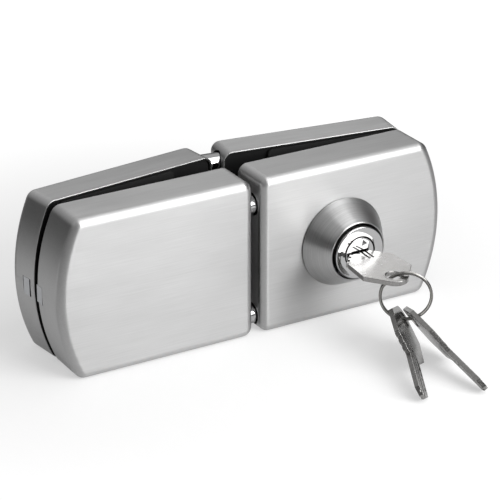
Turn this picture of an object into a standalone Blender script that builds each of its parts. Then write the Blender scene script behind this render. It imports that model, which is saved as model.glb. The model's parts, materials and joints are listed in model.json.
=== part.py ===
# Double glass door lock: two clamp halves that grip the meeting edges of a pair of frameless glass doors.
# The lock half (+X) carries the cylinder, the rack work and four round bolts, the strike half (-X)
# takes the bolts. Each half is a front and a rear jaw, joined by an upright hinge pin beside the gap.
# The origin is on the doors' meeting line, on the plane of the front covers' rims, at mid height.
# The front is -Y. Rear jaws are modelled as they sit on glass, and their empties tip them shut.

import math

import bmesh
import bpy
from mathutils import Matrix, Vector

MM = 0.001

# Covers
COVER_HEIGHT = 76.0 * MM
COVER_WALL = 1.2 * MM
FRONT_DEPTH = 21.6 * MM
REAR_DEPTH = 18.4 * MM
FILLET = 3.6 * MM
MEETING_GAP = 4.2 * MM
END_REACH = 99.0 * MM
END_RADIUS = 83.8 * MM
INNER_CORNER = 4.6 * MM
OUTER_CORNER = 5.2 * MM
END_STEPS = 14
CORNER_STEPS = 5
FILLET_STEPS = 4
FILLET_FROM = math.radians(60)
SHARP_FROM = math.radians(32)

# Glass and what bears on it
GLASS = 12.0 * MM
PAD_PROUD = 0.95 * MM
PAD_BURIED = 0.6 * MM
PAD_INNER_EDGE = 24.0 * MM
PAD_END_GAP = 14.5 * MM
PAD_CORNER = 2.0 * MM
PLATE_THICKNESS = 2.0 * MM
SEAT_GAP = 0.3 * MM
RUN_GAP = 0.3 * MM

# Jaw hinges
HINGE_X = 9.0 * MM
HINGE_PIN_RADIUS = 1.5 * MM
HINGE_PIN_GAP = 0.12 * MM
KNUCKLE_RADIUS = 3.2 * MM
KNUCKLE_HEIGHT = 6.0 * MM
KNUCKLE_LOW = 9.0 * MM
LOCK_END_GAP = 2.1526 * MM
STRIKE_END_GAP = 3.2437 * MM

# Clamp screws
CLAMP_X = 18.8 * MM
CLAMP_Z = 9.6 * MM
CLAMP_RADIUS = 2.0 * MM
CLAMP_HEAD_RADIUS = 4.3 * MM
CLAMP_HEAD = 3.0 * MM
CLAMP_SOCKET_RADIUS = 1.7 * MM
CLAMP_FREE_PLAY = 1.7 * MM

# Bolts and their bearings
BOLT_RADIUS = 4.5 * MM
BOLT_TAIL = 28.0 * MM
BOLT_TIP_CHAMFER = 1.2 * MM
BOLT_FROM_CLAMP = 13.8 * MM
BOLT_FROM_FOOT = 7.1 * MM
FRONT_BOLT_DEPTH = 12.5 * MM
REAR_BOLT_DEPTH = 8.0 * MM
BOLT_SET_BACK = 0.5 * MM
COVER_HOLE_GAP = 0.9 * MM
SOCKET_GAP = 0.5 * MM
SOCKET_SWEEP = (-0.4 * MM, 1.9 * MM)
GUIDE_WALL = 1.4 * MM
GUIDE_LENGTH = 9.0 * MM
SOCKET_LENGTH = 11.0 * MM

# Cylinder, plug and escutcheon
CYLINDER_X = 44.4 * MM
CYLINDER_Z = -0.9 * MM
CYLINDER_RADIUS = 12.5 * MM
CYLINDER_PROUD = 15.3 * MM
CYLINDER_TAIL = 9.8 * MM
FLANGE_REACH = 1.9 * MM
FLANGE_THICKNESS = 1.5 * MM
PLUG_RADIUS = 7.35 * MM
PLUG_GAP = 0.25 * MM
FACE_EDGE = 0.5 * MM
CONE_BASE_RADIUS = 21.3 * MM
CONE_LIP_RADIUS = 14.5 * MM
CONE_MOUTH_RADIUS = 13.6 * MM
CONE_PROUD = 13.6 * MM
CONE_LIP_ROUND = 0.8 * MM
CONE_SPIGOT_WALL = 1.2 * MM
CONE_SPIGOT_LENGTH = 1.6 * MM
BRACKET_THICKNESS = 2.4 * MM
BRACKET_HALF = 17.0 * MM
BRACKET_FOOT = 2.0 * MM
BRACKET_FOOT_X = 2.4 * MM
BRACKET_FOOT_LENGTH = 15.0 * MM
NUT_WALL = 2.2 * MM
NUT_HEIGHT = 2.6 * MM
MARK_SIDE = 2.4 * MM
MARK_DEPTH = 0.35 * MM
MARK_RADIUS = 4.9 * MM
MARK_ANGLES = (math.radians(65), math.radians(203))

# Rack and pinion
GEAR_MODULE = 1.25 * MM
GEAR_TEETH = 11
PRESSURE = math.radians(20)
PINION_ADDENDUM = 1.05 * MM
PINION_DEDENDUM = 1.45 * MM
RACK_ADDENDUM = 0.78 * MM
RACK_DEDENDUM = 1.4 * MM
FLANK_GAP = 0.3 * MM
FLANK_POINTS = 4
GEAR_THICKNESS = 3.0 * MM
RACK_TEETH_BEHIND = 4
RACK_TEETH_AHEAD = 1
RACK_BACK = 3.4 * MM
SHANK_SIDE = 5.0 * MM
SPINDLE_HOLE = 4.0 * MM
HUB_RADIUS = 4.9 * MM
KEY_TURN = math.radians(90)

# Carriages
CARRIAGE_TOP_GAP = 1.7 * MM
CARRIAGE_LEFT = 13.0 * MM
CARRIAGE_RIGHT = 31.0 * MM
CARRIAGE_NECK = 22.0 * MM
REAR_CARRIAGE_DEPTH = 13.0 * MM
SADDLE_LENGTH = 12.0 * MM
SADDLE_WALL = 1.1 * MM
SLOT_HALF = 1.7 * MM
STUD_RADIUS = 1.4 * MM
STUD_HEAD_RADIUS = 2.4 * MM
STUD_HEAD = 1.2 * MM
STUD_X = 27.6 * MM
DRIVE_PIN_X = 17.5 * MM
DRIVE_PIN_RADIUS = 2.0 * MM
DRIVE_PIN_REACH = 6.3 * MM
LUG_WALL = 2.6 * MM
LUG_HALF_HEIGHT = 4.2 * MM
LUG_START = 3.6 * MM
LUG_SLOT_END = 9.2 * MM

# Thumb turn
ROSE_RADIUS = 15.0 * MM
ROSE_THICKNESS = 3.0 * MM
KNOB_RADIUS = 9.0 * MM
KNOB_COLLAR = 4.0 * MM
GRIP_LENGTH = 25.0 * MM
GRIP_WIDTH = 7.0 * MM
GRIP_DEPTH = 13.0 * MM
GRIP_ROUND = 2.2 * MM

# Cover catches
CATCH_Z = -2.0 * MM
CATCH_HEIGHT = 8.2 * MM
CATCH_THICKNESS = 1.0 * MM
FRONT_NOTCH_DEPTH = 4.4 * MM
REAR_SLOT_NEAR = 3.0 * MM
REAR_SLOT_FAR = 9.0 * MM
CATCH_FOOT = 12.0 * MM
CATCH_LIP = 0.9 * MM
CATCH_STEP = 0.8 * MM

# Keys and ring
KEY_THICKNESS = 2.2 * MM
BLADE_WIDTH = 8.4 * MM
HOLE_TO_SHOULDER = 27.2 * MM
BLADE_LENGTH = 25.3 * MM
HOLE_TO_FACE = 27.6 * MM
HOLE_TO_NOSE = 6.9 * MM
KEY_DROOP = math.radians(1.6)
BOW_BACK_HALF = 11.8 * MM
BOW_FRONT_HALF = 12.75 * MM
BOW_FRONT = 4.9 * MM
BOW_BACK = 18.9 * MM
NOSE_BACK = 4.05 * MM
NOSE_HALF = 5.4 * MM
KEY_HOLE_RADIUS = 3.5 * MM
BLADE_TIP = 3.0 * MM
GROOVE_WIDTH = 0.9 * MM
GROOVE_DEPTH = 0.45 * MM
GROOVE_ROWS = (0.2 * MM, 2.3 * MM)
NOTCH_START = 1.4 * MM
NOTCH_WIDTH = 1.8 * MM
NOTCH_DEPTH = 0.9 * MM
NOTCH_PITCH = 3.6 * MM
NOTCH_COUNT = 3
GROOVE_RUN_OUT = 4.0 * MM
KEYWAY_GAP = 0.4 * MM
RING_RADIUS = 11.4 * MM
RING_WIRE = 0.72 * MM
RING_FLATTEN = 0.6
RING_TURNS = 2.0
RING_TURN_GAP = 0.18 * MM
RING_STEPS = 28
RING_FACING = math.radians(-30.3)
RING_START = math.radians(152)
RING_ASIDE = 5.7 * MM
RING_DROP = 9.2 * MM
KEY_HANG_GAP = 1.8 * MM
FLOOR_CLEARANCE = 0.1 * MM
SPARE_KEYS = {
    "spare_key_1": {"along_ring": -1.5 * MM, "heading": 23.4, "roll": 33.0},
    "spare_key_2": {"along_ring": 3.8 * MM, "heading": -3.0, "roll": 37.0},
}

RIM_GAP = GLASS + 2 * PAD_PROUD
HINGE_Y = RIM_GAP / 2
HALF_HEIGHT = COVER_HEIGHT / 2
BOLT_HIGH = CLAMP_Z + BOLT_FROM_CLAMP
BOLT_LOW = BOLT_FROM_FOOT - HALF_HEIGHT
PAD_OUTER_EDGE = END_REACH - PAD_END_GAP
LOCK_TILT = math.asin((RIM_GAP - LOCK_END_GAP) / (END_REACH - HINGE_X))
STRIKE_TILT = math.asin((RIM_GAP - STRIKE_END_GAP) / (END_REACH - HINGE_X))
INNER_EDGE = MEETING_GAP / 2
PLATE_INSET = COVER_WALL + SEAT_GAP
PLATE_BACK = PAD_BURIED + SEAT_GAP
PLATE_FRONT = PLATE_BACK + PLATE_THICKNESS
FACE_Y = -FRONT_DEPTH - CYLINDER_PROUD
PITCH_RADIUS = GEAR_MODULE * GEAR_TEETH / 2
THROW = PITCH_RADIUS * KEY_TURN
BOLT_TIP = INNER_EDGE + BOLT_SET_BACK - THROW
RACK_PITCH = math.pi * GEAR_MODULE
RACK_LINE = CYLINDER_Z + PITCH_RADIUS
RACK_ROOT = RACK_LINE + RACK_DEDENDUM
RACK_TIP = RACK_LINE - RACK_ADDENDUM
RACK_TOP = RACK_ROOT + RACK_BACK
CARRIAGE_FOOT = 2 * CYLINDER_Z - RACK_TOP
SADDLE = BOLT_RADIUS + RUN_GAP + SADDLE_WALL
STUD_ROWS = ((RACK_TOP + BOLT_HIGH - SADDLE) / 2, (CARRIAGE_FOOT + BOLT_LOW + SADDLE) / 2)
FRONT_CARRIAGE_Y = -PLATE_FRONT - CARRIAGE_TOP_GAP
RING_ALONG = Vector((math.cos(RING_FACING), math.sin(RING_FACING), 0))
RING_AXIS = Vector((math.sin(RING_FACING), -math.cos(RING_FACING), 0))


# Scene, materials and the basic ways of making a solid

def clear_scene():
    for thing in list(bpy.data.objects):
        bpy.data.objects.remove(thing, do_unlink=True)
    for group in list(bpy.data.collections):
        bpy.data.collections.remove(group)


def new_collection(name):
    group = bpy.data.collections.new(name)
    bpy.context.scene.collection.children.link(group)
    return group


def new_material(name, colour, roughness, metallic):
    material = bpy.data.materials.new(name)
    material.use_nodes = True
    shader = material.node_tree.nodes["Principled BSDF"]
    shader.inputs["Base Color"].default_value = (*colour, 1)
    shader.inputs["Roughness"].default_value = roughness
    shader.inputs["Metallic"].default_value = metallic
    return material


clear_scene()
PARTS = new_collection("double_glass_door_lock")
CUTTERS = new_collection("cutters")
BRUSHED = new_material("brushed_stainless", (0.62, 0.62, 0.61), 0.33, 1.0)
CHROME = new_material("bright_chrome", (0.80, 0.80, 0.80), 0.08, 1.0)
BLACK = new_material("black_powder_coat", (0.012, 0.012, 0.013), 0.5, 0.0)
RUBBER = new_material("black_rubber", (0.015, 0.015, 0.015), 0.8, 0.0)
NICKEL = new_material("nickel_plate", (0.55, 0.54, 0.52), 0.25, 1.0)
ZINC = new_material("zinc_plate", (0.50, 0.50, 0.52), 0.4, 1.0)


def add(name, mesh, material, parent=None, location=(0, 0, 0), smooth=True):
    thing = bpy.data.objects.new(name, mesh)
    PARTS.objects.link(thing)
    if not mesh.materials:
        mesh.materials.append(material)
    if smooth:
        mesh.shade_smooth()
        mesh.set_sharp_from_angle(angle=SHARP_FROM)
    thing.location = location
    attach(thing, parent)
    return thing


def attach(thing, parent):
    if parent:
        thing.parent = parent
        thing.matrix_parent_inverse = Matrix.Translation(-parent.location)


def add_tool(name, mesh, parent=None, location=(0, 0, 0)):
    tool = bpy.data.objects.new(name, mesh)
    CUTTERS.objects.link(tool)
    tool.hide_render = True
    tool.display_type = "WIRE"
    tool.location = location
    attach(tool, parent)
    return tool


def boolean(thing, tool, operation):
    modifier = thing.modifiers.new(tool.name, "BOOLEAN")
    modifier.operation = operation
    modifier.solver = "EXACT"
    modifier.object = tool


def finished_mesh(name, bm):
    bm.normal_update()
    bmesh.ops.recalc_face_normals(bm, faces=bm.faces)
    mesh = bpy.data.meshes.new(name)
    bm.to_mesh(mesh)
    bm.free()
    return mesh


def evaluated_mesh(thing):
    bpy.context.view_layer.update()
    graph = bpy.context.evaluated_depsgraph_get()
    return bpy.data.meshes.new_from_object(thing.evaluated_get(graph), depsgraph=graph)


# A flat outline, with any holes, swept along the axis that its plane leaves free
def slab(name, outlines, start, end, plane="XZ"):
    curve = bpy.data.curves.new(name, "CURVE")
    curve.dimensions = "2D"
    curve.fill_mode = "BOTH"
    curve.extrude = abs(end - start) / 2
    for outline in outlines:
        spline = curve.splines.new("POLY")
        spline.points.add(len(outline) - 1)
        for point, (across, up) in zip(spline.points, outline):
            point.co = (across, up, 0, 1)
        spline.use_cyclic_u = True
    thing = bpy.data.objects.new(name, curve)
    CUTTERS.objects.link(thing)
    mesh = evaluated_mesh(thing)
    bpy.data.objects.remove(thing, do_unlink=True)
    bm = bmesh.new()
    bm.from_mesh(mesh)
    bpy.data.meshes.remove(mesh)
    bmesh.ops.remove_doubles(bm, verts=bm.verts, dist=0.001 * MM)
    if len(outlines) == 1:
        flat = math.radians(0.5)
        bmesh.ops.dissolve_limit(bm, angle_limit=flat, verts=bm.verts, edges=bm.edges)
    middle = (start + end) / 2
    for vert in bm.verts:
        across, up, along = vert.co
        along += middle
        vert.co = {"XY": (across, up, along), "XZ": (across, along, up), "YZ": (along, across, up)}[plane]
    return finished_mesh(name, bm)


def block(name, low, high):
    bm = bmesh.new()
    bmesh.ops.create_cube(bm, size=1)
    low, high = Vector(low), Vector(high)
    bmesh.ops.scale(bm, vec=high - low, verts=bm.verts)
    bmesh.ops.translate(bm, vec=(low + high) / 2, verts=bm.verts)
    return finished_mesh(name, bm)


def drum(name, radius, start, end, axis="Z", centre=(0, 0), steps=32):
    bm = bmesh.new()
    bmesh.ops.create_cone(
        bm, cap_ends=True, segments=steps, radius1=radius, radius2=radius, depth=abs(end - start))
    middle = (start + end) / 2
    for vert in bm.verts:
        across, up, along = vert.co
        across, up, along = across + centre[0], up + centre[1], along + middle
        vert.co = {"Z": (across, up, along), "Y": (across, along, up), "X": (along, across, up)}[axis]
    return finished_mesh(name, bm)


# A profile of (radius, height) points turned about +Z: open from axis to axis, or a closed loop
def turned(name, profile, closed, steps=40):
    bm = bmesh.new()
    verts = [bm.verts.new((radius, 0, height)) for radius, height in profile]
    pairs = list(zip(verts, verts[1:]))
    if closed:
        pairs.append((verts[-1], verts[0]))
    for pair in pairs:
        bm.edges.new(pair)
    mesh = bpy.data.meshes.new(name)
    bm.to_mesh(mesh)
    bm.free()
    thing = bpy.data.objects.new(name, mesh)
    CUTTERS.objects.link(thing)
    screw = thing.modifiers.new("turn", "SCREW")
    screw.steps = steps
    screw.render_steps = steps
    screw.use_merge_vertices = True
    screw.merge_threshold = 0.001 * MM
    made = evaluated_mesh(thing)
    bpy.data.objects.remove(thing, do_unlink=True)
    bm = bmesh.new()
    bm.from_mesh(made)
    bpy.data.meshes.remove(made)
    return finished_mesh(name, bm)


# A turned mesh whose +Z faces the front, or the back of the lock where back is true
def facing(mesh, back=False):
    mesh.transform(Matrix.Rotation(math.radians(-90 if back else 90), 4, "X"))
    return mesh


def along_x(mesh, toward=1):
    mesh.transform(Matrix.Rotation(math.radians(90) * toward, 4, "Y"))
    return mesh


def arc(centre, radius, start, end, steps):
    angles = [start + (end - start) * step / steps for step in range(steps + 1)]
    return [(centre[0] + radius * math.cos(a), centre[1] + radius * math.sin(a)) for a in angles]


def circle(centre, radius, steps=20):
    return arc(centre, radius, 0, 2 * math.pi * (1 - 1 / steps), steps - 1)


def stadium(low, high, level, radius, steps=6):
    quarter = math.pi / 2
    return (arc((high, level), radius, -quarter, quarter, steps)
            + arc((low, level), radius, quarter, 3 * quarter, steps))


# Outline of one half, drawn for the lock side: a straight meeting edge and an arched outer end
def half_outline(inset, inner=INNER_EDGE):
    level = HALF_HEIGHT - inset
    left = inner + (inset if inner == INNER_EDGE else 0)
    near = max(INNER_CORNER - inset, 1.0 * MM)
    far = OUTER_CORNER - inset
    reach = END_RADIUS - inset
    centre = END_REACH - END_RADIUS
    far_x = centre + math.sqrt((reach - far) ** 2 - (level - far) ** 2)
    swing = math.atan2(level - far, far_x - centre)
    quarter = math.pi / 2
    lower_near = arc((left + near, -level + near), near, 2 * quarter, 3 * quarter, CORNER_STEPS)
    lower_far = arc((far_x, -level + far), far, -quarter, -swing, CORNER_STEPS)
    end = arc((centre, 0), reach, -swing, swing, END_STEPS)
    upper_far = arc((far_x, level - far), far, swing, quarter, CORNER_STEPS)
    upper_near = arc((left + near, level - near), near, quarter, 2 * quarter, CORNER_STEPS)
    return lower_near + lower_far + end[1:-1] + upper_far + upper_near


# One jaw: its own directions, where depth runs from the rim into the cover
class Jaw:
    def __init__(self, half, rear):
        self.side = 1 if half == "lock" else -1
        self.rear = rear
        self.flip = -1 if rear else 1
        self.name = f"{half}_{'rear' if rear else 'front'}"
        self.depth = REAR_DEPTH if rear else FRONT_DEPTH
        self.bolt_depth = REAR_BOLT_DEPTH if rear else FRONT_BOLT_DEPTH
        self.bolts = {"upper": BOLT_HIGH, "lower": BOLT_LOW}
        if rear:
            self.bolts = {"upper": -BOLT_LOW, "lower": -BOLT_HIGH}
        self.empty = None
        if rear:
            tilt = LOCK_TILT if half == "lock" else STRIKE_TILT
            self.empty = bpy.data.objects.new(f"{self.name}_hinge_axis", None)
            PARTS.objects.link(self.empty)
            self.empty.location = (self.side * HINGE_X, HINGE_Y, 0)
            self.empty.rotation_euler = (0, 0, -self.side * tilt)

    def y(self, depth):
        return RIM_GAP + depth if self.rear else -depth

    def mirrored(self, outline):
        return [(self.side * across, up) for across, up in outline]

    def slab(self, name, outlines, near, far):
        return slab(name, [self.mirrored(o) for o in outlines], self.y(near), self.y(far))

    def box(self, name, x, depth, z):
        xs = sorted(self.side * value for value in x)
        ys = sorted(self.y(value) for value in depth)
        return block(name, (xs[0], ys[0], z[0]), (xs[1], ys[1], z[1]))

    def rod_x(self, name, radius, x, depth, z, steps=32):
        ends = sorted(self.side * value for value in x)
        return drum(name, radius, ends[0], ends[1], "X", (self.y(depth), z), steps)

    def rod_y(self, name, radius, x, z, near, far, steps=32):
        ends = sorted((self.y(near), self.y(far)))
        return drum(name, radius, ends[0], ends[1], "Y", (self.side * x, z), steps)

    def slot_x(self, name, radius, x, depths, z):
        ends = sorted(self.side * value for value in x)
        ys = sorted(self.y(value) for value in depths)
        return slab(name, [stadium(ys[0], ys[1], z, radius)], ends[0], ends[1], "YZ")

    def add(self, name, mesh, material, **options):
        return add(name, mesh, material, self.empty, **options)

    def cut(self, thing, mesh):
        boolean(thing, add_tool(f"{thing.name}_{mesh.name}", mesh, self.empty), "DIFFERENCE")

    def join(self, thing, mesh):
        boolean(thing, add_tool(f"{thing.name}_{mesh.name}", mesh, self.empty), "UNION")


# Pressed cover: an open pan with rolled front edges and one even wall
def add_cover(jaw):
    bm = bmesh.new()
    bm.from_mesh(jaw.slab("pan", [half_outline(0)], 0, jaw.depth))
    rim = [face for face in bm.faces if all(abs(v.co.y - jaw.y(0)) < 0.01 * MM for v in face.verts)]
    bmesh.ops.delete(bm, geom=rim, context="FACES_ONLY")
    mesh = bpy.data.meshes.new(f"{jaw.name}_cover")
    bm.to_mesh(mesh)
    bm.free()
    cover = jaw.add(f"{jaw.name}_cover", mesh, BRUSHED)
    rolled = cover.modifiers.new("rolled_edge", "BEVEL")
    rolled.width = FILLET
    rolled.segments = FILLET_STEPS
    rolled.limit_method = "ANGLE"
    rolled.angle_limit = FILLET_FROM
    wall = cover.modifiers.new("wall", "SOLIDIFY")
    wall.thickness = COVER_WALL
    wall.offset = -1
    wall.use_even_offset = True
    for row, level in jaw.bolts.items():
        radius = BOLT_RADIUS + COVER_HOLE_GAP
        span = (INNER_EDGE - COVER_WALL, INNER_EDGE + INNER_CORNER)
        if jaw.name == "strike_rear":
            sweep = [jaw.bolt_depth + shift for shift in SOCKET_SWEEP]
            jaw.cut(cover, jaw.slot_x(f"{row}_bolt_slot", radius, span, sweep, level))
        else:
            jaw.cut(cover, jaw.rod_x(f"{row}_bolt_hole", radius, span, jaw.bolt_depth, level))
    half = CATCH_HEIGHT / 2 + SEAT_GAP / 2
    wall_span = (END_REACH - 3 * COVER_WALL, END_REACH + COVER_WALL)
    depths = (REAR_SLOT_NEAR, REAR_SLOT_FAR) if jaw.rear else (-COVER_WALL, FRONT_NOTCH_DEPTH)
    jaw.cut(cover, jaw.box("catch_slot", wall_span, depths, (CATCH_Z - half, CATCH_Z + half)))
    return cover


# The room inside a cover, which trims the blocks that stand in its corners
def add_core(jaw):
    roof = jaw.depth - PLATE_INSET
    core = add_tool(
        f"{jaw.name}_core", jaw.slab("core", [half_outline(PLATE_INSET)], -PLATE_BACK, roof), jaw.empty)
    edge = core.modifiers.new("edge", "BEVEL")
    edge.width = FILLET - COVER_WALL
    edge.segments = FILLET_STEPS
    edge.limit_method = "ANGLE"
    edge.angle_limit = FILLET_FROM
    return core


# Hinge knuckles of one jaw: round-ended webs that stand on the base plate
def join_knuckles(jaw, plate):
    root = jaw.y(PLATE_BACK + PLATE_THICKNESS / 2)
    x = jaw.side * HINGE_X
    turn = 0 if not jaw.rear else math.pi
    web = arc((x, HINGE_Y), KNUCKLE_RADIUS, turn, turn + math.pi, 8)
    web += [(web[-1][0], root), (web[0][0], root)]
    hole = circle((x, HINGE_Y), HINGE_PIN_RADIUS + HINGE_PIN_GAP, 16)
    start = KNUCKLE_LOW + (KNUCKLE_HEIGHT + RUN_GAP if jaw.rear else 0)
    for end, sign in (("upper", 1), ("lower", -1)):
        span = sorted((sign * start, sign * (start + KNUCKLE_HEIGHT)))
        jaw.join(plate, slab(f"{end}_knuckle", [web, hole], span[0], span[1], "XY"))


def add_plate(jaw):
    holes = []
    for sign in (1, -1):
        play = CLAMP_FREE_PLAY if jaw.rear else RUN_GAP
        holes.append(circle((CLAMP_X, sign * CLAMP_Z), CLAMP_RADIUS + play))
    if jaw.side > 0:
        reach = DRIVE_PIN_X + THROW
        back = tilt_shift(LOCK_TILT) if jaw.rear else 0
        slot_half = DRIVE_PIN_RADIUS + 3 * RUN_GAP
        holes.append(stadium(DRIVE_PIN_X - back, reach, 0, slot_half))
        holes.append(circle((CYLINDER_X, jaw.flip * CYLINDER_Z), SPINDLE_HOLE))
    mesh = jaw.slab("plate", [half_outline(PLATE_INSET)] + holes, PLATE_BACK, PLATE_FRONT)
    plate = jaw.add(f"{jaw.name}_plate", mesh, BLACK)
    join_knuckles(jaw, plate)
    return plate


# How far the drive pin wanders towards the gap in a rear jaw that has tipped shut
def tilt_shift(tilt):
    height = RIM_GAP + LUG_SLOT_END - HINGE_Y
    return height * math.sin(tilt) - (DRIVE_PIN_X - HINGE_X) * (1 - math.cos(tilt))


def rounded_outline(low, high, radius, steps):
    quarter = math.pi / 2
    corners = [(high[0], high[1], 0), (low[0], high[1], 1), (low[0], low[1], 2), (high[0], low[1], 3)]
    points = []
    for x, z, turn in corners:
        centre = (x + radius * (-1 if turn in (0, 3) else 1), z + radius * (-1 if turn < 2 else 1))
        points += arc(centre, radius, turn * quarter, (turn + 1) * quarter, steps)
    return points


# Pads stop short of the outer ends, where the tipped rear jaws come closest to the front ones
def add_pad(jaw):
    level = HALF_HEIGHT - PLATE_INSET
    outline = rounded_outline((PAD_INNER_EDGE, -level), (PAD_OUTER_EDGE, level), PAD_CORNER, CORNER_STEPS)
    pad = jaw.add(f"{jaw.name}_pad", jaw.slab("pad", [outline], -PAD_PROUD, PAD_BURIED), RUBBER)
    if jaw.side > 0:
        half = DRIVE_PIN_RADIUS + 4 * RUN_GAP
        reach = DRIVE_PIN_X + THROW + DRIVE_PIN_RADIUS + 3 * RUN_GAP
        span = (PAD_INNER_EDGE - COVER_WALL, reach)
        jaw.cut(pad, jaw.box("pin_way", span, (-2 * PAD_PROUD, 2 * PAD_BURIED), (-half, half)))
    return pad


# Guides in the lock half and sockets in the strike half, one block around each bolt.
# Rear bolts run close to the plate, so the rear blocks are saddles that are open towards it.
def add_bolt_blocks(jaw, core):
    lock = jaw.side > 0
    start = INNER_EDGE + PLATE_INSET
    length = GUIDE_LENGTH if lock else SOCKET_LENGTH
    radius = BOLT_RADIUS + (RUN_GAP if lock else SOCKET_GAP)
    farthest = jaw.bolt_depth + (SOCKET_SWEEP[1] if jaw.rear and not lock else 0)
    reach = radius + GUIDE_WALL
    for row, level in jaw.bolts.items():
        depths = (PLATE_FRONT + SEAT_GAP, farthest + reach)
        mesh = jaw.box("block", (start, start + length), depths, (level - reach, level + reach))
        name = f"{jaw.name}_{row}_{'guide' if lock else 'socket'}"
        piece = jaw.add(name, mesh, BLACK)
        boolean(piece, core, "INTERSECT")
        hole = (start - COVER_WALL, start + length + COVER_WALL)
        if jaw.rear:
            middles = (jaw.bolt_depth - BOLT_RADIUS, farthest)
            jaw.cut(piece, jaw.slot_x("bolt_slot", radius, hole, middles, level))
        else:
            jaw.cut(piece, jaw.rod_x("bolt_hole", radius, hole, jaw.bolt_depth, level))


# Spring catch: a foot on the base plate and a lip that snaps into the cover
def add_catch(jaw):
    foot = PLATE_FRONT + SEAT_GAP
    outer = END_REACH - 0.1 * MM
    inner = outer - CATCH_THICKNESS
    start = END_REACH - CATCH_FOOT
    if jaw.rear:
        low = foot + CATCH_STEP
        lip = REAR_SLOT_FAR - SEAT_GAP
        profile = [
            (start, foot), (start + CATCH_FOOT / 3, foot), (start + CATCH_FOOT / 3, low),
            (outer, low), (outer, lip), (inner, lip),
            (inner, low + CATCH_THICKNESS), (start, low + CATCH_THICKNESS)]
    else:
        top = FRONT_NOTCH_DEPTH - SEAT_GAP
        profile = [
            (start, foot), (inner, foot), (inner, -CATCH_LIP),
            (outer, -CATCH_LIP), (outer, top), (start, top)]
    points = [(jaw.side * x, jaw.y(depth)) for x, depth in profile]
    half = CATCH_HEIGHT / 2
    mesh = slab("catch", [points], CATCH_Z - half, CATCH_Z + half, "XY")
    return jaw.add(f"{jaw.name}_catch", mesh, ZINC, smooth=False)


def add_hinge_pin(half, side):
    reach = KNUCKLE_LOW + 2 * KNUCKLE_HEIGHT + 2 * RUN_GAP
    profile = [
        (0, reach), (HINGE_PIN_RADIUS - SEAT_GAP, reach), (HINGE_PIN_RADIUS, reach - SEAT_GAP),
        (HINGE_PIN_RADIUS, -reach), (0, -reach)]
    add(f"{half}_hinge_pin", turned("pin", profile, False, 16), ZINC, None,
        (side * HINGE_X, HINGE_Y, 0))


# Clamp screws thread into the front plate, and their heads stop the rear plate
def add_clamp_screws(half, side):
    tip = -PLATE_FRONT - SEAT_GAP
    seat = RIM_GAP + PLATE_FRONT + SEAT_GAP
    top = seat + CLAMP_HEAD
    edge = SEAT_GAP
    profile = [
        (0, top), (CLAMP_HEAD_RADIUS - edge, top), (CLAMP_HEAD_RADIUS, top - edge),
        (CLAMP_HEAD_RADIUS, seat), (CLAMP_RADIUS, seat), (CLAMP_RADIUS, tip + edge),
        (CLAMP_RADIUS - edge, tip), (0, tip)]
    for row, sign in (("upper", 1), ("lower", -1)):
        place = (side * CLAMP_X, 0, sign * CLAMP_Z)
        name = f"{half}_{row}_clamp_screw"
        screw = add(name, facing(turned("screw", profile, False, 20), True), ZINC, None, place)
        key = drum("hex", CLAMP_SOCKET_RADIUS, top - CLAMP_HEAD / 2, top + edge, "Y", (0, 0), 6)
        boolean(screw, add_tool(f"{name}_hex", key, None, place), "DIFFERENCE")


# Round bolt with a chamfered nose, its origin on its own line of travel
def add_bolts(jaw):
    for row, level in jaw.bolts.items():
        length = BOLT_TAIL - BOLT_TIP
        nose = BOLT_TIP_CHAMFER
        profile = [
            (0, length), (BOLT_RADIUS - nose / 2, length), (BOLT_RADIUS, length - nose / 2),
            (BOLT_RADIUS, nose), (BOLT_RADIUS - nose / 3, nose / 3), (BOLT_RADIUS - nose, 0), (0, 0)]
        mesh = along_x(turned("bolt", profile, False, 28))
        jaw.add(f"{jaw.name}_{row}_bolt", mesh, CHROME, location=(BOLT_TIP, jaw.y(jaw.bolt_depth), level))


# Involute flank of a pinion tooth, as the half angle that it takes up at a radius
def half_tooth_angle(radius):
    base = PITCH_RADIUS * math.cos(PRESSURE)
    involute = math.tan(PRESSURE) - PRESSURE
    at_pitch = math.pi / (2 * GEAR_TEETH) - FLANK_GAP / (2 * PITCH_RADIUS)
    if radius <= base:
        return at_pitch + involute
    turn = math.acos(base / radius)
    return at_pitch + involute - (math.tan(turn) - turn)


def pinion_outline(centre, flip):
    root = PITCH_RADIUS - PINION_DEDENDUM
    tip = PITCH_RADIUS + PINION_ADDENDUM
    base = PITCH_RADIUS * math.cos(PRESSURE)
    radii = [root] + [base + (tip - base) * n / (FLANK_POINTS - 1) for n in range(FLANK_POINTS)]
    pitch = 2 * math.pi / GEAR_TEETH
    points = []
    for tooth in range(GEAR_TEETH):
        middle = flip * math.pi / 2 + (tooth + 0.5) * pitch
        rising = [(radius, middle - half_tooth_angle(radius)) for radius in radii]
        falling = [(radius, middle + half_tooth_angle(radius)) for radius in reversed(radii)]
        points += rising + falling
    return [(centre[0] + r * math.cos(a), centre[1] + r * math.sin(a)) for r, a in points]


# Half the width of a rack tooth at a height, for teeth that widen towards the rack's back
def rack_half_tooth(level):
    return RACK_PITCH / 4 - FLANK_GAP / 2 + (level - RACK_LINE) * math.tan(PRESSURE)


# The strip that holds the rack's teeth, as part of the carriage's outline
def rack_strip():
    first = CYLINDER_X - RACK_TEETH_BEHIND * RACK_PITCH
    last = CYLINDER_X + RACK_TEETH_AHEAD * RACK_PITCH
    return [
        (first - rack_half_tooth(RACK_ROOT), RACK_ROOT), (first - rack_half_tooth(RACK_TIP), RACK_TIP),
        (last + rack_half_tooth(RACK_TIP), RACK_TIP), (last + rack_half_tooth(RACK_TOP), RACK_TOP)]


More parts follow.
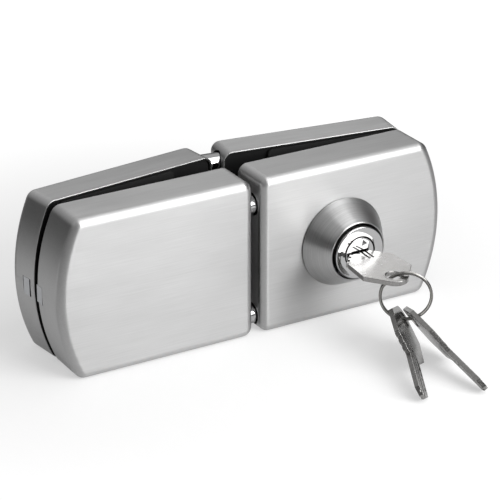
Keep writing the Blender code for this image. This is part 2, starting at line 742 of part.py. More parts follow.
# The spaces between the rack's teeth, which are cut out of the strip
def rack_spaces(flip):
    spaces = []
    for gap in range(-RACK_TEETH_BEHIND, RACK_TEETH_AHEAD):
        middle = CYLINDER_X + (gap + 0.5) * RACK_PITCH
        mouth = RACK_TIP - MM
        wide = RACK_PITCH / 2 - rack_half_tooth(mouth)
        narrow = RACK_PITCH / 2 - rack_half_tooth(RACK_ROOT)
        space = [(middle - wide, mouth), (middle - narrow, RACK_ROOT),
                 (middle + narrow, RACK_ROOT), (middle + wide, mouth)]
        spaces.append([(x, flip * z) for x, z in space])
    return spaces


# Bolt carriage: rack arm, yoke with guide slots, and a saddle around each bolt's tail
def add_carriage(jaw):
    near = REAR_CARRIAGE_DEPTH if jaw.rear else -FRONT_CARRIAGE_Y
    far = near + GEAR_THICKNESS
    top = BOLT_HIGH + SADDLE - RUN_GAP
    bottom = BOLT_LOW - SADDLE + GUIDE_WALL / 2
    outline = [
        (CARRIAGE_LEFT, bottom), (CARRIAGE_RIGHT, bottom), (CARRIAGE_RIGHT, CARRIAGE_FOOT),
        (CARRIAGE_NECK, CARRIAGE_FOOT), (CARRIAGE_NECK, RACK_ROOT)] + rack_strip() + [
        (CARRIAGE_RIGHT, RACK_TOP), (CARRIAGE_RIGHT, top), (CARRIAGE_LEFT, top)]
    slots = [stadium(STUD_X - THROW - RUN_GAP, STUD_X + RUN_GAP, row, SLOT_HALF) for row in STUD_ROWS]
    outlines = [[(x, jaw.flip * z) for x, z in line] for line in [outline] + slots]
    mesh = jaw.slab("carriage", outlines, near, far)
    carriage = jaw.add(f"{jaw.name}_carriage", mesh, ZINC, smooth=False)
    jaw.cut(carriage, jaw.slab("rack_spaces", rack_spaces(jaw.flip), near - MM, far + MM))
    end = BOLT_TAIL
    for row, level in jaw.bolts.items():
        low = max(level - SADDLE, -HALF_HEIGHT + PLATE_INSET + SEAT_GAP / 2)
        high = min(level + SADDLE, HALF_HEIGHT - PLATE_INSET - SEAT_GAP / 2)
        if jaw.rear:
            depths = (PLATE_FRONT + 2 * SEAT_GAP, near + GEAR_THICKNESS / 2)
        else:
            depths = (near + GEAR_THICKNESS / 2, jaw.bolt_depth + SADDLE)
        jaw.join(carriage, jaw.box(f"{row}_saddle", (end - SADDLE_LENGTH, end), depths, (low, high)))
    if jaw.rear:
        join_drive_lug(jaw, carriage, near)
    for row, level in jaw.bolts.items():
        span = (end - 2 * SADDLE_LENGTH, end + SADDLE_LENGTH)
        jaw.cut(carriage, jaw.rod_x(f"{row}_bore", BOLT_RADIUS + RUN_GAP, span, jaw.bolt_depth, level))
    return carriage


# Lug that the drive pin pushes, with room for the jaw to tip
def join_drive_lug(jaw, carriage, near):
    slot = (DRIVE_PIN_X - tilt_shift(LOCK_TILT) - DRIVE_PIN_RADIUS - RUN_GAP,
            DRIVE_PIN_X + DRIVE_PIN_RADIUS + RUN_GAP)
    span = (slot[0] - LUG_WALL, slot[1] + LUG_WALL)
    height = (-LUG_HALF_HEIGHT, LUG_HALF_HEIGHT)
    jaw.join(carriage, jaw.box("drive_lug", span, (LUG_START, near + GEAR_THICKNESS / 2), height))
    half = DRIVE_PIN_RADIUS + RUN_GAP
    jaw.cut(carriage, jaw.box("drive_slot", slot, (LUG_START - RUN_GAP, LUG_SLOT_END), (-half, half)))


def add_drive_pin(jaw, carriage):
    start = FRONT_CARRIAGE_Y - GEAR_THICKNESS
    end = RIM_GAP + DRIVE_PIN_REACH
    length = end - start
    edge = SEAT_GAP
    profile = [
        (0, length), (DRIVE_PIN_RADIUS - edge, length), (DRIVE_PIN_RADIUS, length - edge),
        (DRIVE_PIN_RADIUS, 0), (0, 0)]
    mesh = facing(turned("drive_pin", profile, False, 20), True)
    add("drive_pin", mesh, ZINC, None, (DRIVE_PIN_X, start, 0))
    far = -FRONT_CARRIAGE_Y + 2 * GEAR_THICKNESS
    bore = jaw.rod_y("pin_bore", DRIVE_PIN_RADIUS + HINGE_PIN_GAP, DRIVE_PIN_X, 0, 0, far, 24)
    jaw.cut(carriage, bore)


def add_studs(jaw):
    near = REAR_CARRIAGE_DEPTH if jaw.rear else -FRONT_CARRIAGE_Y
    start = PLATE_FRONT + SEAT_GAP
    neck = near + GEAR_THICKNESS + RUN_GAP - start
    if jaw.rear:
        neck = near - RUN_GAP - start + GEAR_THICKNESS - RUN_GAP
    for row, level in zip(("upper", "lower"), STUD_ROWS):
        profile = [(0, neck), (STUD_RADIUS, neck), (STUD_RADIUS, 0), (0, 0)]
        if not jaw.rear:
            top = neck + STUD_HEAD
            profile = [
                (0, top), (STUD_HEAD_RADIUS, top), (STUD_HEAD_RADIUS, neck),
                (STUD_RADIUS, neck), (STUD_RADIUS, 0), (0, 0)]
        mesh = facing(turned("stud", profile, False, 14), jaw.rear)
        jaw.add(f"{jaw.name}_{row}_stud", mesh, ZINC, location=(STUD_X, jaw.y(start), jaw.flip * level))


def add_pinion(jaw):
    near = REAR_CARRIAGE_DEPTH if jaw.rear else -FRONT_CARRIAGE_Y
    far = near + GEAR_THICKNESS
    centre_z = jaw.flip * CYLINDER_Z
    place = (CYLINDER_X, jaw.y(near), centre_z)
    thick = sorted((0, jaw.y(far) - jaw.y(near)))
    mesh = slab("pinion", [pinion_outline((0, 0), jaw.flip)], thick[0], thick[1])
    pinion = jaw.add(f"{jaw.name}_pinion", mesh, ZINC, location=place, smooth=False)
    outer = jaw.depth - PLATE_INSET if jaw.rear else -FACE_Y - plug_length() - SEAT_GAP
    outer = min(outer, far + 2 * MM)
    inner = near - CARRIAGE_TOP_GAP + SEAT_GAP
    jaw.join(pinion, jaw.rod_y("hub", HUB_RADIUS, CYLINDER_X, centre_z, inner, outer, 20))
    half = SHANK_SIDE / 2 + RUN_GAP
    span = (CYLINDER_X - half, CYLINDER_X + half)
    square = jaw.box("square", span, (inner - MM, outer + MM), (centre_z - half, centre_z + half))
    jaw.cut(pinion, square)


def plug_length():
    return -FACE_Y - CYLINDER_TAIL - RUN_GAP


# Plug: turned body with a keyway across it, index marks in its face and a square shank behind
def add_plug():
    length = plug_length()
    profile = [
        (0, 0), (PLUG_RADIUS - FACE_EDGE / 2, 0), (PLUG_RADIUS, -FACE_EDGE / 2),
        (PLUG_RADIUS, -length), (0, -length)]
    place = (CYLINDER_X, FACE_Y, CYLINDER_Z)
    plug = add("plug", facing(turned("plug", profile, False, 40)), CHROME, None, place)
    half = SHANK_SIDE / 2
    end = -FACE_Y - PLATE_BACK - SEAT_GAP
    shank = block("shank", (-half, length - 2 * MM, -half), (half, end, half))
    boolean(plug, add_tool("plug_shank", shank, None, place), "UNION")
    wide = BLADE_WIDTH / 2 + KEYWAY_GAP
    high = KEY_THICKNESS / 2 + KEYWAY_GAP
    deep = HOLE_TO_SHOULDER + BLADE_LENGTH - HOLE_TO_FACE + 2 * KEYWAY_GAP
    keyway = block("keyway", (-wide, -MM, -high), (wide, deep, high))
    boolean(plug, add_tool("plug_keyway", keyway, None, place), "DIFFERENCE")
    for number, turn in enumerate(MARK_ANGLES, 1):
        centre = (MARK_RADIUS * math.cos(turn), MARK_RADIUS * math.sin(turn))
        mark = drum(f"mark_{number}", MARK_SIDE / math.sqrt(3), -MM, MARK_DEPTH, "Y", centre, 3)
        boolean(plug, add_tool(f"plug_mark_{number}", mark, None, place), "DIFFERENCE")


def add_cylinder():
    length = -FACE_Y - CYLINDER_TAIL
    flange = -FACE_Y - (FRONT_DEPTH - COVER_WALL - 3 * SEAT_GAP)
    outer = CYLINDER_RADIUS
    bore = PLUG_RADIUS + PLUG_GAP
    edge = FACE_EDGE
    rim = outer + FLANGE_REACH
    profile = [
        (outer - edge, 0), (outer, -edge), (outer, -flange), (rim, -flange),
        (rim, -flange - FLANGE_THICKNESS), (outer, -flange - FLANGE_THICKNESS), (outer, -length),
        (bore, -length), (bore, -edge / 2), (bore + edge / 2, 0)]
    place = (CYLINDER_X, FACE_Y, CYLINDER_Z)
    add("cylinder", facing(turned("cylinder", profile, True, 40)), CHROME, None, place)
    return FRONT_DEPTH - COVER_WALL - 3 * SEAT_GAP - FLANGE_THICKNESS - SEAT_GAP


# Cone escutcheon: its spigot sits in the cover, and its mouth clears the cylinder
def add_escutcheon(jaw, cover):
    spigot = CONE_MOUTH_RADIUS + CONE_SPIGOT_WALL
    lip = arc((CONE_LIP_RADIUS - CONE_LIP_ROUND, CONE_PROUD - SEAT_GAP - CONE_LIP_ROUND),
              CONE_LIP_ROUND, math.pi / 2, math.radians(25), 4)
    profile = [(CONE_MOUTH_RADIUS, CONE_PROUD - SEAT_GAP)] + lip + [
        (CONE_BASE_RADIUS, CONE_LIP_ROUND), (CONE_BASE_RADIUS, 0), (spigot, 0),
        (spigot, -CONE_SPIGOT_LENGTH), (CONE_MOUTH_RADIUS, -CONE_SPIGOT_LENGTH)]
    place = (CYLINDER_X, -FRONT_DEPTH - SEAT_GAP, CYLINDER_Z)
    add("escutcheon", facing(turned("escutcheon", profile, True, 56)), BRUSHED, None, place)
    radius = spigot + SEAT_GAP
    far = jaw.depth + COVER_WALL
    jaw.cut(cover, jaw.rod_y("cone_hole", radius, CYLINDER_X, CYLINDER_Z, jaw.depth - FILLET, far, 48))


# Bracket that carries the cylinder over the rack, and the ring nut behind it
def add_bracket(jaw, front):
    back = front - BRACKET_THICKNESS
    reach = CYLINDER_RADIUS + BRACKET_FOOT
    foot_x = CYLINDER_X + BRACKET_FOOT_X
    left = CYLINDER_X - reach
    right = foot_x + BRACKET_FOOT_LENGTH
    top = CYLINDER_Z + BRACKET_HALF
    bottom = CYLINDER_Z - BRACKET_HALF
    outline = [(left, bottom), (right, bottom), (right, top), (left, top)]
    bore = circle((CYLINDER_X, CYLINDER_Z), CYLINDER_RADIUS + SEAT_GAP, 36)
    mesh = jaw.slab("bracket", [outline, bore], back, front)
    bracket = jaw.add("cylinder_bracket", mesh, ZINC, smooth=False)
    foot = PLATE_FRONT + SEAT_GAP
    for row, level, sign in (("upper", top, 1), ("lower", bottom, -1)):
        span = sorted((level, level - sign * BRACKET_FOOT))
        leg = jaw.box(f"{row}_leg", (foot_x, right), (foot, back + BRACKET_THICKNESS / 2), span)
        jaw.join(bracket, leg)
    inner = CYLINDER_RADIUS + SEAT_GAP
    outer = CYLINDER_RADIUS + NUT_WALL
    profile = [(outer, 0), (outer, -NUT_HEIGHT), (inner, -NUT_HEIGHT), (inner, 0)]
    place = (CYLINDER_X, -back + SEAT_GAP, CYLINDER_Z)
    add("cylinder_nut", facing(turned("nut", profile, True, 28)), ZINC, None, place)


# Thumb turn on the rear cover: fixed rose, round collar, grip and square spindle
def add_thumb_turn(jaw, cover):
    level = -CYLINDER_Z
    hole = SPINDLE_HOLE
    seat = jaw.depth + SEAT_GAP
    edge = FACE_EDGE
    rose = [
        (ROSE_RADIUS - 2 * edge, ROSE_THICKNESS), (ROSE_RADIUS, ROSE_THICKNESS - 2 * edge),
        (ROSE_RADIUS, 0), (hole, 0), (hole, ROSE_THICKNESS)]
    place = (CYLINDER_X, jaw.y(seat), level)
    jaw.add("thumb_rose", facing(turned("rose", rose, True, 40), True), BRUSHED, location=place)
    jaw.cut(cover, jaw.rod_y("spindle_hole", hole, CYLINDER_X, level, jaw.depth - FILLET, seat))
    collar = [
        (0, KNOB_COLLAR), (KNOB_RADIUS - edge, KNOB_COLLAR), (KNOB_RADIUS, KNOB_COLLAR - edge),
        (KNOB_RADIUS, 0), (0, 0)]
    base = seat + ROSE_THICKNESS + RUN_GAP
    place = (CYLINDER_X, jaw.y(base), level)
    knob = jaw.add("thumb_turn", facing(turned("collar", collar, False, 40), True), BRUSHED, location=place)
    wide = GRIP_WIDTH / 2
    tall = GRIP_LENGTH / 2
    grip = add_tool("thumb_turn_grip", jaw.box(
        "grip", (CYLINDER_X - wide, CYLINDER_X + wide),
        (base + KNOB_COLLAR / 2, base + KNOB_COLLAR + GRIP_DEPTH),
        (level - tall, level + tall)), jaw.empty)
    rounding = grip.modifiers.new("round", "BEVEL")
    rounding.width = GRIP_ROUND
    rounding.segments = 4
    boolean(knob, grip, "UNION")
    half = SHANK_SIDE / 2
    span = (CYLINDER_X - half, CYLINDER_X + half)
    depths = (PLATE_BACK + SEAT_GAP, base + KNOB_COLLAR / 2)
    jaw.join(knob, jaw.box("spindle", span, depths, (level - half, level + half)))


# Key: flat bow and grooved blade, drawn with its ring hole at the origin and its tip towards +Y
def key_mesh():
    tip = HOLE_TO_SHOULDER + BLADE_LENGTH
    half = BLADE_WIDTH / 2
    sagitta = HOLE_TO_NOSE - NOSE_BACK
    nose_radius = (NOSE_HALF ** 2 + sagitta ** 2) / (2 * sagitta)
    spread = math.asin(NOSE_HALF / nose_radius)
    down = -math.pi / 2
    nose = arc((0, nose_radius - HOLE_TO_NOSE), nose_radius, down - spread, down + spread, 8)
    right = [(BOW_FRONT_HALF, BOW_FRONT), (BOW_BACK_HALF, BOW_BACK), (half, HOLE_TO_SHOULDER)]
    blade = [(half, tip - BLADE_TIP), (half - BLADE_TIP, tip)]
    blade += [(BLADE_TIP - half, tip), (-half, tip - BLADE_TIP)]
    left = [(-half, HOLE_TO_SHOULDER)] + notched_edge()
    left += [(-BOW_BACK_HALF, BOW_BACK), (-BOW_FRONT_HALF, BOW_FRONT)]
    hole = circle((0, 0), KEY_HOLE_RADIUS)
    thick = KEY_THICKNESS / 2
    blank = add_tool("key_blank", slab("key", [nose + right + blade + left, hole], -thick, thick, "XY"))
    for side, face in (("top", 1), ("under", -1)):
        for number, row in enumerate(GROOVE_ROWS, 1):
            across = sorted((face * (row - GROOVE_WIDTH / 2), face * (row + GROOVE_WIDTH / 2)))
            out = sorted((face * (thick - GROOVE_DEPTH), face * (thick + MM)))
            low = (across[0], HOLE_TO_SHOULDER - GROOVE_RUN_OUT, out[0])
            high = (across[1], tip + MM, out[1])
            name = f"groove_{side}_{number}"
            boolean(blank, add_tool(f"key_{name}", block(name, low, high)), "DIFFERENCE")
    mesh = evaluated_mesh(blank)
    mesh.name = "key"
    return mesh


# Square notches down the bow's left taper, listed from the blade towards the bow
def notched_edge():
    root = Vector((-BLADE_WIDTH / 2, HOLE_TO_SHOULDER))
    corner = Vector((-BOW_BACK_HALF, BOW_BACK))
    along = (corner - root).normalized()
    inward = Vector((along.y, -along.x))
    points = []
    for number in range(NOTCH_COUNT):
        low = root + along * (NOTCH_START + number * NOTCH_PITCH)
        high = low + along * NOTCH_WIDTH
        points += [low, low + inward * NOTCH_DEPTH, high + inward * NOTCH_DEPTH, high]
    return [tuple(point) for point in points]


# The key droops a little in its keyway, about the middle of the length that is inside the plug
def key_place():
    inside = HOLE_TO_SHOULDER + BLADE_LENGTH - HOLE_TO_FACE
    fall = (HOLE_TO_FACE + inside / 2) * math.sin(KEY_DROOP)
    return Vector((CYLINDER_X, FACE_Y - HOLE_TO_FACE, CYLINDER_Z - fall))


def ring_centre():
    return key_place() + RING_ASIDE * RING_ALONG - Vector((0, 0, RING_DROP))


# Split ring: two flattened turns of wire, upright, passed through the key's hole
def add_ring():
    steps = int(RING_STEPS * RING_TURNS)
    pitch = 2 * RING_WIRE + RING_TURN_GAP / RING_FLATTEN
    curve = bpy.data.curves.new("key_ring", "CURVE")
    curve.dimensions = "3D"
    curve.bevel_depth = RING_WIRE
    curve.bevel_resolution = 2
    curve.use_fill_caps = True
    spline = curve.splines.new("POLY")
    spline.points.add(steps)
    for step, point in enumerate(spline.points):
        turn = step / RING_STEPS
        angle = RING_START + 2 * math.pi * turn
        point.co = (RING_RADIUS * math.cos(angle), RING_RADIUS * math.sin(angle),
                    pitch * (turn - RING_TURNS / 2), 1)
    guide = bpy.data.objects.new("ring_wire", curve)
    CUTTERS.objects.link(guide)
    mesh = evaluated_mesh(guide)
    bpy.data.objects.remove(guide, do_unlink=True)
    bm = bmesh.new()
    bm.from_mesh(mesh)
    bmesh.ops.remove_doubles(bm, verts=bm.verts, dist=0.001 * MM)
    bmesh.ops.scale(bm, vec=(1, 1, RING_FLATTEN), verts=bm.verts)
    up = Vector((0, 0, 1))
    frame = Matrix((RING_ALONG, up, RING_AXIS)).transposed().to_4x4()
    bmesh.ops.transform(bm, matrix=frame, verts=bm.verts)
    add("key_ring", finished_mesh("key_ring", bm), NICKEL, None, ring_centre())


# Across, along and out of the face of a key that points down from a heading, rolled on its own length
def key_directions(heading, slope, roll):
    flat = math.cos(slope)
    tip = Vector((-math.sin(heading) * flat, -math.cos(heading) * flat, -math.sin(slope)))
    level = Vector((0, 0, 1)).cross(tip).normalized()
    upright = tip.cross(level)
    edge = -upright * math.cos(roll) - level * math.sin(roll)
    if upright.z > 0:
        edge = upright * math.cos(roll) - level * math.sin(roll)
    return Matrix((edge, tip, edge.cross(tip))).transposed()


# A spare key hangs by its hole from the ring's lowest part, and its tip rests on the surface below
def add_spare_key(name, mesh, along_ring, heading, roll):
    drop = math.sqrt(RING_RADIUS ** 2 - along_ring ** 2)
    wire = ring_centre() + along_ring * RING_ALONG - Vector((0, 0, drop))
    hang = KEY_HOLE_RADIUS - RING_WIRE - KEY_HANG_GAP
    end = HOLE_TO_SHOULDER + BLADE_LENGTH
    half = BLADE_WIDTH / 2
    thick = KEY_THICKNESS / 2
    corners = [(across, along, out) for out in (-thick, thick) for sign in (-1, 1)
               for across, along in ((sign * half, end - BLADE_TIP), (sign * (half - BLADE_TIP), end))]
    shallow = 0
    steep = math.pi / 4
    for _ in range(24):
        slope = (shallow + steep) / 2
        turn = key_directions(math.radians(heading), slope, math.radians(roll))
        place = wire + turn.col[1] * hang
        lowest = min((place + turn @ Vector(corner)).z for corner in corners)
        if lowest < FLOOR_CLEARANCE - HALF_HEIGHT:
            steep = slope
        else:
            shallow = slope
    key = add(name, mesh, NICKEL, None, place, smooth=False)
    key.rotation_euler = turn.to_euler()
    return key


def build_half(half):
    front, rear = Jaw(half, False), Jaw(half, True)
    covers = {}
    for jaw in (front, rear):
        covers[jaw] = add_cover(jaw)
        add_plate(jaw)
        add_pad(jaw)
        add_bolt_blocks(jaw, add_core(jaw))
        add_catch(jaw)
    add_hinge_pin(half, front.side)
    add_clamp_screws(half, front.side)
    return front, rear, covers


def build_lock():
    front, rear, covers = build_half("lock")
    for jaw in (front, rear):
        add_bolts(jaw)
        carriage = add_carriage(jaw)
        add_studs(jaw)
        add_pinion(jaw)
        if jaw is front:
            add_drive_pin(jaw, carriage)
    add_escutcheon(front, covers[front])
    add_plug()
    add_bracket(front, add_cylinder())
    add_thumb_turn(rear, covers[rear])


def build_keys():
    mesh = key_mesh()
    key = add("key", mesh, NICKEL, None, key_place(), smooth=False)
    key.rotation_euler = (KEY_DROOP, 0, 0)
    add_ring()
    for name, pose in SPARE_KEYS.items():
        add_spare_key(name, mesh, pose["along_ring"], pose["heading"], pose["roll"])


build_half("strike")
build_lock()
build_keys()
bpy.context.view_layer.update()
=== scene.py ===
import json
import math

import bmesh
import bpy
from mathutils import Matrix, Vector


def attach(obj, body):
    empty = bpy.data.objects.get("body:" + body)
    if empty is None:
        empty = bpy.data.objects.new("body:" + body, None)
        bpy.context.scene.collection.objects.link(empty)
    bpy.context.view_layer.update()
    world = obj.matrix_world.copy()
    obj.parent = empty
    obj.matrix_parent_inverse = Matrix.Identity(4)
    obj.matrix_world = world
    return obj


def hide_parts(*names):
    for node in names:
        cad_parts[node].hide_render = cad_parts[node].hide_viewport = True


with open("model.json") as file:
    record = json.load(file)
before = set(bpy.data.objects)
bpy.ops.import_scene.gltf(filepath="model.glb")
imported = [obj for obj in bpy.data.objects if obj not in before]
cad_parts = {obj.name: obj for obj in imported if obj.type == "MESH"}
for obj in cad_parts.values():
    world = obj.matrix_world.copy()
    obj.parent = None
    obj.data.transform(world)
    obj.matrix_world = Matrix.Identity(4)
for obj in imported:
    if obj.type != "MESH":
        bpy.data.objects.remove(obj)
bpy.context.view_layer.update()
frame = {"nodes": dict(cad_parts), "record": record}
cadNodes = frame["nodes"]
mm = 0.001
scene = bpy.context.scene

# Degrees that each rear jaw is tipped from its front one
jawTilts = {"lock": 7.5, "strike": 6.8}
print("frame loaded:", len(cadNodes), "nodes")

# Camera, fitted to the straight edges of the covers in the photograph
cameraSettings = {
    "azimuth": -30.27,  # degrees from straight ahead, seen from the strike side
    "elevation": 24.22,
    "roll": -0.04,
    "place": (-489.66, -853.32, 438.85),  # mm
    "lens": 170.2,  # mm on a 36 mm sensor, as for a 500 x 500 frame
    "sensor": 36.0,
    "clip": (0.05, 20.0),  # metres
}


def makeCamera(settings):
    azimuth = math.radians(settings["azimuth"])
    elevation = math.radians(settings["elevation"])
    roll = math.radians(settings["roll"])
    back = Vector((math.sin(azimuth) * math.cos(elevation),
                   -math.cos(azimuth) * math.cos(elevation), math.sin(elevation)))
    level = Vector((math.cos(azimuth), math.sin(azimuth), 0))
    upright = back.cross(level)
    right = level * math.cos(roll) + upright * math.sin(roll)
    up = upright * math.cos(roll) - level * math.sin(roll)
    data = bpy.data.cameras.new("camera")
    data.lens = settings["lens"]
    data.sensor_width = settings["sensor"]
    data.clip_start, data.clip_end = settings["clip"]
    camera = bpy.data.objects.new("camera", data)
    scene.collection.objects.link(camera)
    matrix = Matrix((right, up, back)).transposed().to_4x4()
    matrix.translation = Vector(settings["place"]) * mm
    camera.matrix_world = matrix
    scene.camera = camera


makeCamera(cameraSettings)
print("camera placed")


def linearColour(code):
    # sRGB hex value to the linear colour that a shader takes
    parts = [int(code[place:place + 2], 16) / 255 for place in (1, 3, 5)]
    linear = [value / 12.92 if value <= 0.04045 else ((value + 0.055) / 1.055) ** 2.4 for value in parts]
    return (*linear, 1.0)


def addNode(tree, kind, settings=None, links=None):
    # Settings name a socket or a property of the node, links name a socket and the output that feeds it
    node = tree.nodes.new(kind)
    for name, value in (settings or {}).items():
        if isinstance(name, int) or name in node.inputs:
            node.inputs[name].default_value = value
        else:
            setattr(node, name, value)
    for name, source in (links or {}).items():
        tree.links.new(source, node.inputs[name])
    return node


def toneRamp(tree, source, finish, spread):
    # From the dark to the light colour of a finish, as the source goes through the spread
    node = addNode(tree, "ShaderNodeValToRGB", None, {"Fac": source})
    for element, place, code in zip(node.color_ramp.elements, spread, (finish["dark"], finish["light"])):
        element.position = place
        element.color = linearColour(code)
    return node


def emptyMaterial(name):
    material = bpy.data.materials.new(name)
    material.use_nodes = True
    material.node_tree.nodes.clear()
    return material, material.node_tree


# Where the tones of a metal and of a coat begin and end in the noise, and the cloud's share of it
metalSpread = (0.3, 0.7)
coatSpread = (0.35, 0.65)
cloudShare = 0.35


def streakPattern(tree, size, tilt=0.0):
    # Noise drawn out into streaks: size is (x, y, z) of one grain in mm, tilt turns it about the upright
    place = addNode(tree, "ShaderNodeTexCoord")
    mapping = addNode(tree, "ShaderNodeMapping",
                      {"vector_type": "TEXTURE", "Scale": [value * mm for value in size],
                       "Rotation": (0.0, 0.0, math.radians(tilt))}, {"Vector": place.outputs["Object"]})
    return addNode(tree, "ShaderNodeTexNoise", {"Scale": 1.0, "Detail": 4.0, "Roughness": 0.6},
                   {"Vector": mapping.outputs["Vector"]})


def reliefOf(tree, grain, finish):
    # Shallow bump that follows the grain
    return addNode(tree, "ShaderNodeBump", {"Strength": finish["relief"], "Distance": finish["height"] * mm},
                   {"Height": grain.outputs["Fac"]})


def metalMaterial(name, finish):
    # One metal: two tones and two roughnesses that a grain moves between, and a shallow relief
    material, tree = emptyMaterial(name)
    tilt = finish.get("tilt", 0.0)
    grain = streakPattern(tree, finish["grain"], tilt)
    cloud = streakPattern(tree, finish["cloud"], tilt)
    mixed = addNode(tree, "ShaderNodeMix", {"data_type": "FLOAT", 0: cloudShare},
                    {2: grain.outputs["Fac"], 3: cloud.outputs["Fac"]})
    tone = toneRamp(tree, mixed.outputs[0], finish, metalSpread)
    rough = addNode(tree, "ShaderNodeMapRange",
                    {"From Min": metalSpread[0], "From Max": metalSpread[1],
                     "To Min": finish["smooth"], "To Max": finish["rough"]},
                    {"Value": mixed.outputs[0]})
    relief = reliefOf(tree, grain, finish)
    shader = addNode(tree, "ShaderNodeBsdfPrincipled",
                     {"Metallic": 1.0, "Anisotropic": finish.get("anisotropy", 0.0)},
                     {"Base Color": tone.outputs["Color"], "Roughness": rough.outputs["Result"],
                      "Normal": relief.outputs["Normal"]})
    if finish.get("anisotropy"):
        # The shine spreads across the marks, so it is turned a quarter from them
        shader.inputs["Anisotropic Rotation"].default_value = 0.25
    if finish.get("turned"):
        # Lathe marks run round the axis
        tangent = addNode(tree, "ShaderNodeTangent", {"direction_type": "RADIAL", "axis": "Y"})
        tree.links.new(tangent.outputs["Tangent"], shader.inputs["Tangent"])
    elif finish.get("anisotropy"):
        # Belt marks run lengthwise, and round the ends
        turn = math.radians(tilt)
        along = addNode(tree, "ShaderNodeVectorTransform",
                        {"vector_type": "VECTOR", "convert_from": "OBJECT", "convert_to": "WORLD",
                         "Vector": (math.cos(turn), math.sin(turn), 0.0)})
        tree.links.new(along.outputs["Vector"], shader.inputs["Tangent"])
    addNode(tree, "ShaderNodeOutputMaterial", None, {"Surface": shader.outputs["BSDF"]})
    return material


def coatMaterial(name, finish):
    # Paint, rubber or another non-metal with a fine grain
    material, tree = emptyMaterial(name)
    grain = streakPattern(tree, finish["grain"])
    tone = toneRamp(tree, grain.outputs["Fac"], finish, coatSpread)
    relief = reliefOf(tree, grain, finish)
    shader = addNode(tree, "ShaderNodeBsdfPrincipled", {"Roughness": finish["rough"], "IOR": finish["ior"]},
                     {"Base Color": tone.outputs["Color"], "Normal": relief.outputs["Normal"]})
    addNode(tree, "ShaderNodeOutputMaterial", None, {"Surface": shader.outputs["BSDF"]})
    return material


# Stainless sheet, belt-ground lengthwise: silky grey with fine level streaks. A real mark is about
# 0.05 mm wide, and is drawn 0.6 mm wide so that it shows at this distance.
linishedFinish = {
    "grain": (26.0, 0.6, 0.6), "cloud": (60.0, 18.0, 18.0), "dark": "#bcbcbc", "light": "#c9c9c9",
    "smooth": 0.37, "rough": 0.43, "relief": 0.12, "height": 0.02, "anisotropy": 0.85,
}
linishedStainless = metalMaterial("linishedStainless", linishedFinish)
linishedRearLock = metalMaterial("linishedStainlessRearLock", {**linishedFinish, "tilt": -jawTilts["lock"]})
linishedRearStrike = metalMaterial("linishedStainlessRearStrike",
                                   {**linishedFinish, "tilt": jawTilts["strike"]})

# Stainless bar, faced and polished on a lathe: marks run round it, and the shine fans out
turnedStainless = metalMaterial("turnedStainless", {
    "grain": (30.0, 0.5, 30.0), "cloud": (20.0, 8.0, 20.0), "dark": "#a8a8a8", "light": "#c6c6c6",
    "smooth": 0.29, "rough": 0.38, "relief": 0.2, "height": 0.03, "anisotropy": 0.85, "turned": True})

# Brass under polished chrome plate: almost a mirror, with the faintest haze of wiping marks
polishedChrome = metalMaterial("polishedChrome", {
    "grain": (3.0, 3.0, 3.0), "cloud": (12.0, 12.0, 12.0), "dark": "#c4c4c5", "light": "#cbcbcb",
    "smooth": 0.04, "rough": 0.07, "relief": 0.02, "height": 0.01})

# Stamped brass key blank under nickel plate: dull silver with tumbling marks
nickelPlate = metalMaterial("nickelPlate", {
    "grain": (1.2, 1.2, 1.2), "cloud": (9.0, 9.0, 9.0), "dark": "#8e8d8b", "light": "#acabaa",
    "smooth": 0.17, "rough": 0.3, "relief": 0.18, "height": 0.02})

# Spring wire under nickel plate: brighter than the keys, rubbed along the wire
nickelWire = metalMaterial("nickelWire", {
    "grain": (1.5, 1.5, 1.5), "cloud": (6.0, 6.0, 6.0), "dark": "#7c7b79", "light": "#9f9e9b",
    "smooth": 0.12, "rough": 0.2, "relief": 0.1, "height": 0.02})

# Mild steel under bright zinc plate: cool grey, slightly cloudy
zincPlate = metalMaterial("zincPlate", {
    "grain": (2.0, 2.0, 2.0), "cloud": (5.0, 5.0, 5.0), "dark": "#bfc1c4", "light": "#d6d7d9",
    "smooth": 0.25, "rough": 0.4, "relief": 0.12, "height": 0.02})

# Steel plate, powder coated satin black: a low sheen over a pebbled skin
powderCoat = coatMaterial("powderCoat", {
    "grain": (0.7, 0.7, 0.7), "dark": "#0a0a0b", "light": "#101011", "rough": 0.5, "ior": 1.5,
    "relief": 0.25, "height": 0.05})

# Near-black painted shade inside the pressed covers, over their whole inner face, for the hollow and the gap
# between the jaws: dull, with no sheen
coverInsideShade = coatMaterial("paintedShadeInsideCovers", {
    "grain": (1.1, 1.1, 1.1), "dark": "#070707", "light": "#0c0c0c", "rough": 0.8, "ior": 1.5,
    "relief": 0.2, "height": 0.04})

# Reamed cylinder bore, painted near black for the shade in the narrow gap round the plug
boreShade = coatMaterial("paintedBoreShade", {
    "grain": (0.6, 0.6, 0.6), "dark": "#0b0b0c", "light": "#131314", "rough": 0.6, "ior": 1.45,
    "relief": 0.15, "height": 0.03})

# Grey painted shade in the deeper middle of the punched marks of the plug
markPitShade = coatMaterial("paintedMarkShade", {
    "grain": (0.6, 0.6, 0.6), "dark": "#5c5c5d", "light": "#6b6b6c", "rough": 0.5, "ior": 1.5,
    "relief": 0.1, "height": 0.02})

# Moulded EPDM rubber: dead black, barely any sheen
mouldedRubber = coatMaterial("mouldedRubber", {
    "grain": (0.9, 0.9, 0.9), "dark": "#0b0b0b", "light": "#121212", "rough": 0.75, "ior": 1.52,
    "relief": 0.2, "height": 0.04})

slotMaterials = {
    "brushed_stainless": linishedStainless, "bright_chrome": polishedChrome,
    "black_coated_steel": powderCoat, "black_rubber": mouldedRubber,
    "nickel_plated_brass": nickelPlate, "zinc_plated_steel": zincPlate,
}

for row in frame["record"]["subparts"]:
    thing = cadNodes[row["node"]]
    for materialSlot in thing.material_slots:
        materialSlot.material = slotMaterials[row["material_slot"]]
print("materials made and given to the CAD nodes")


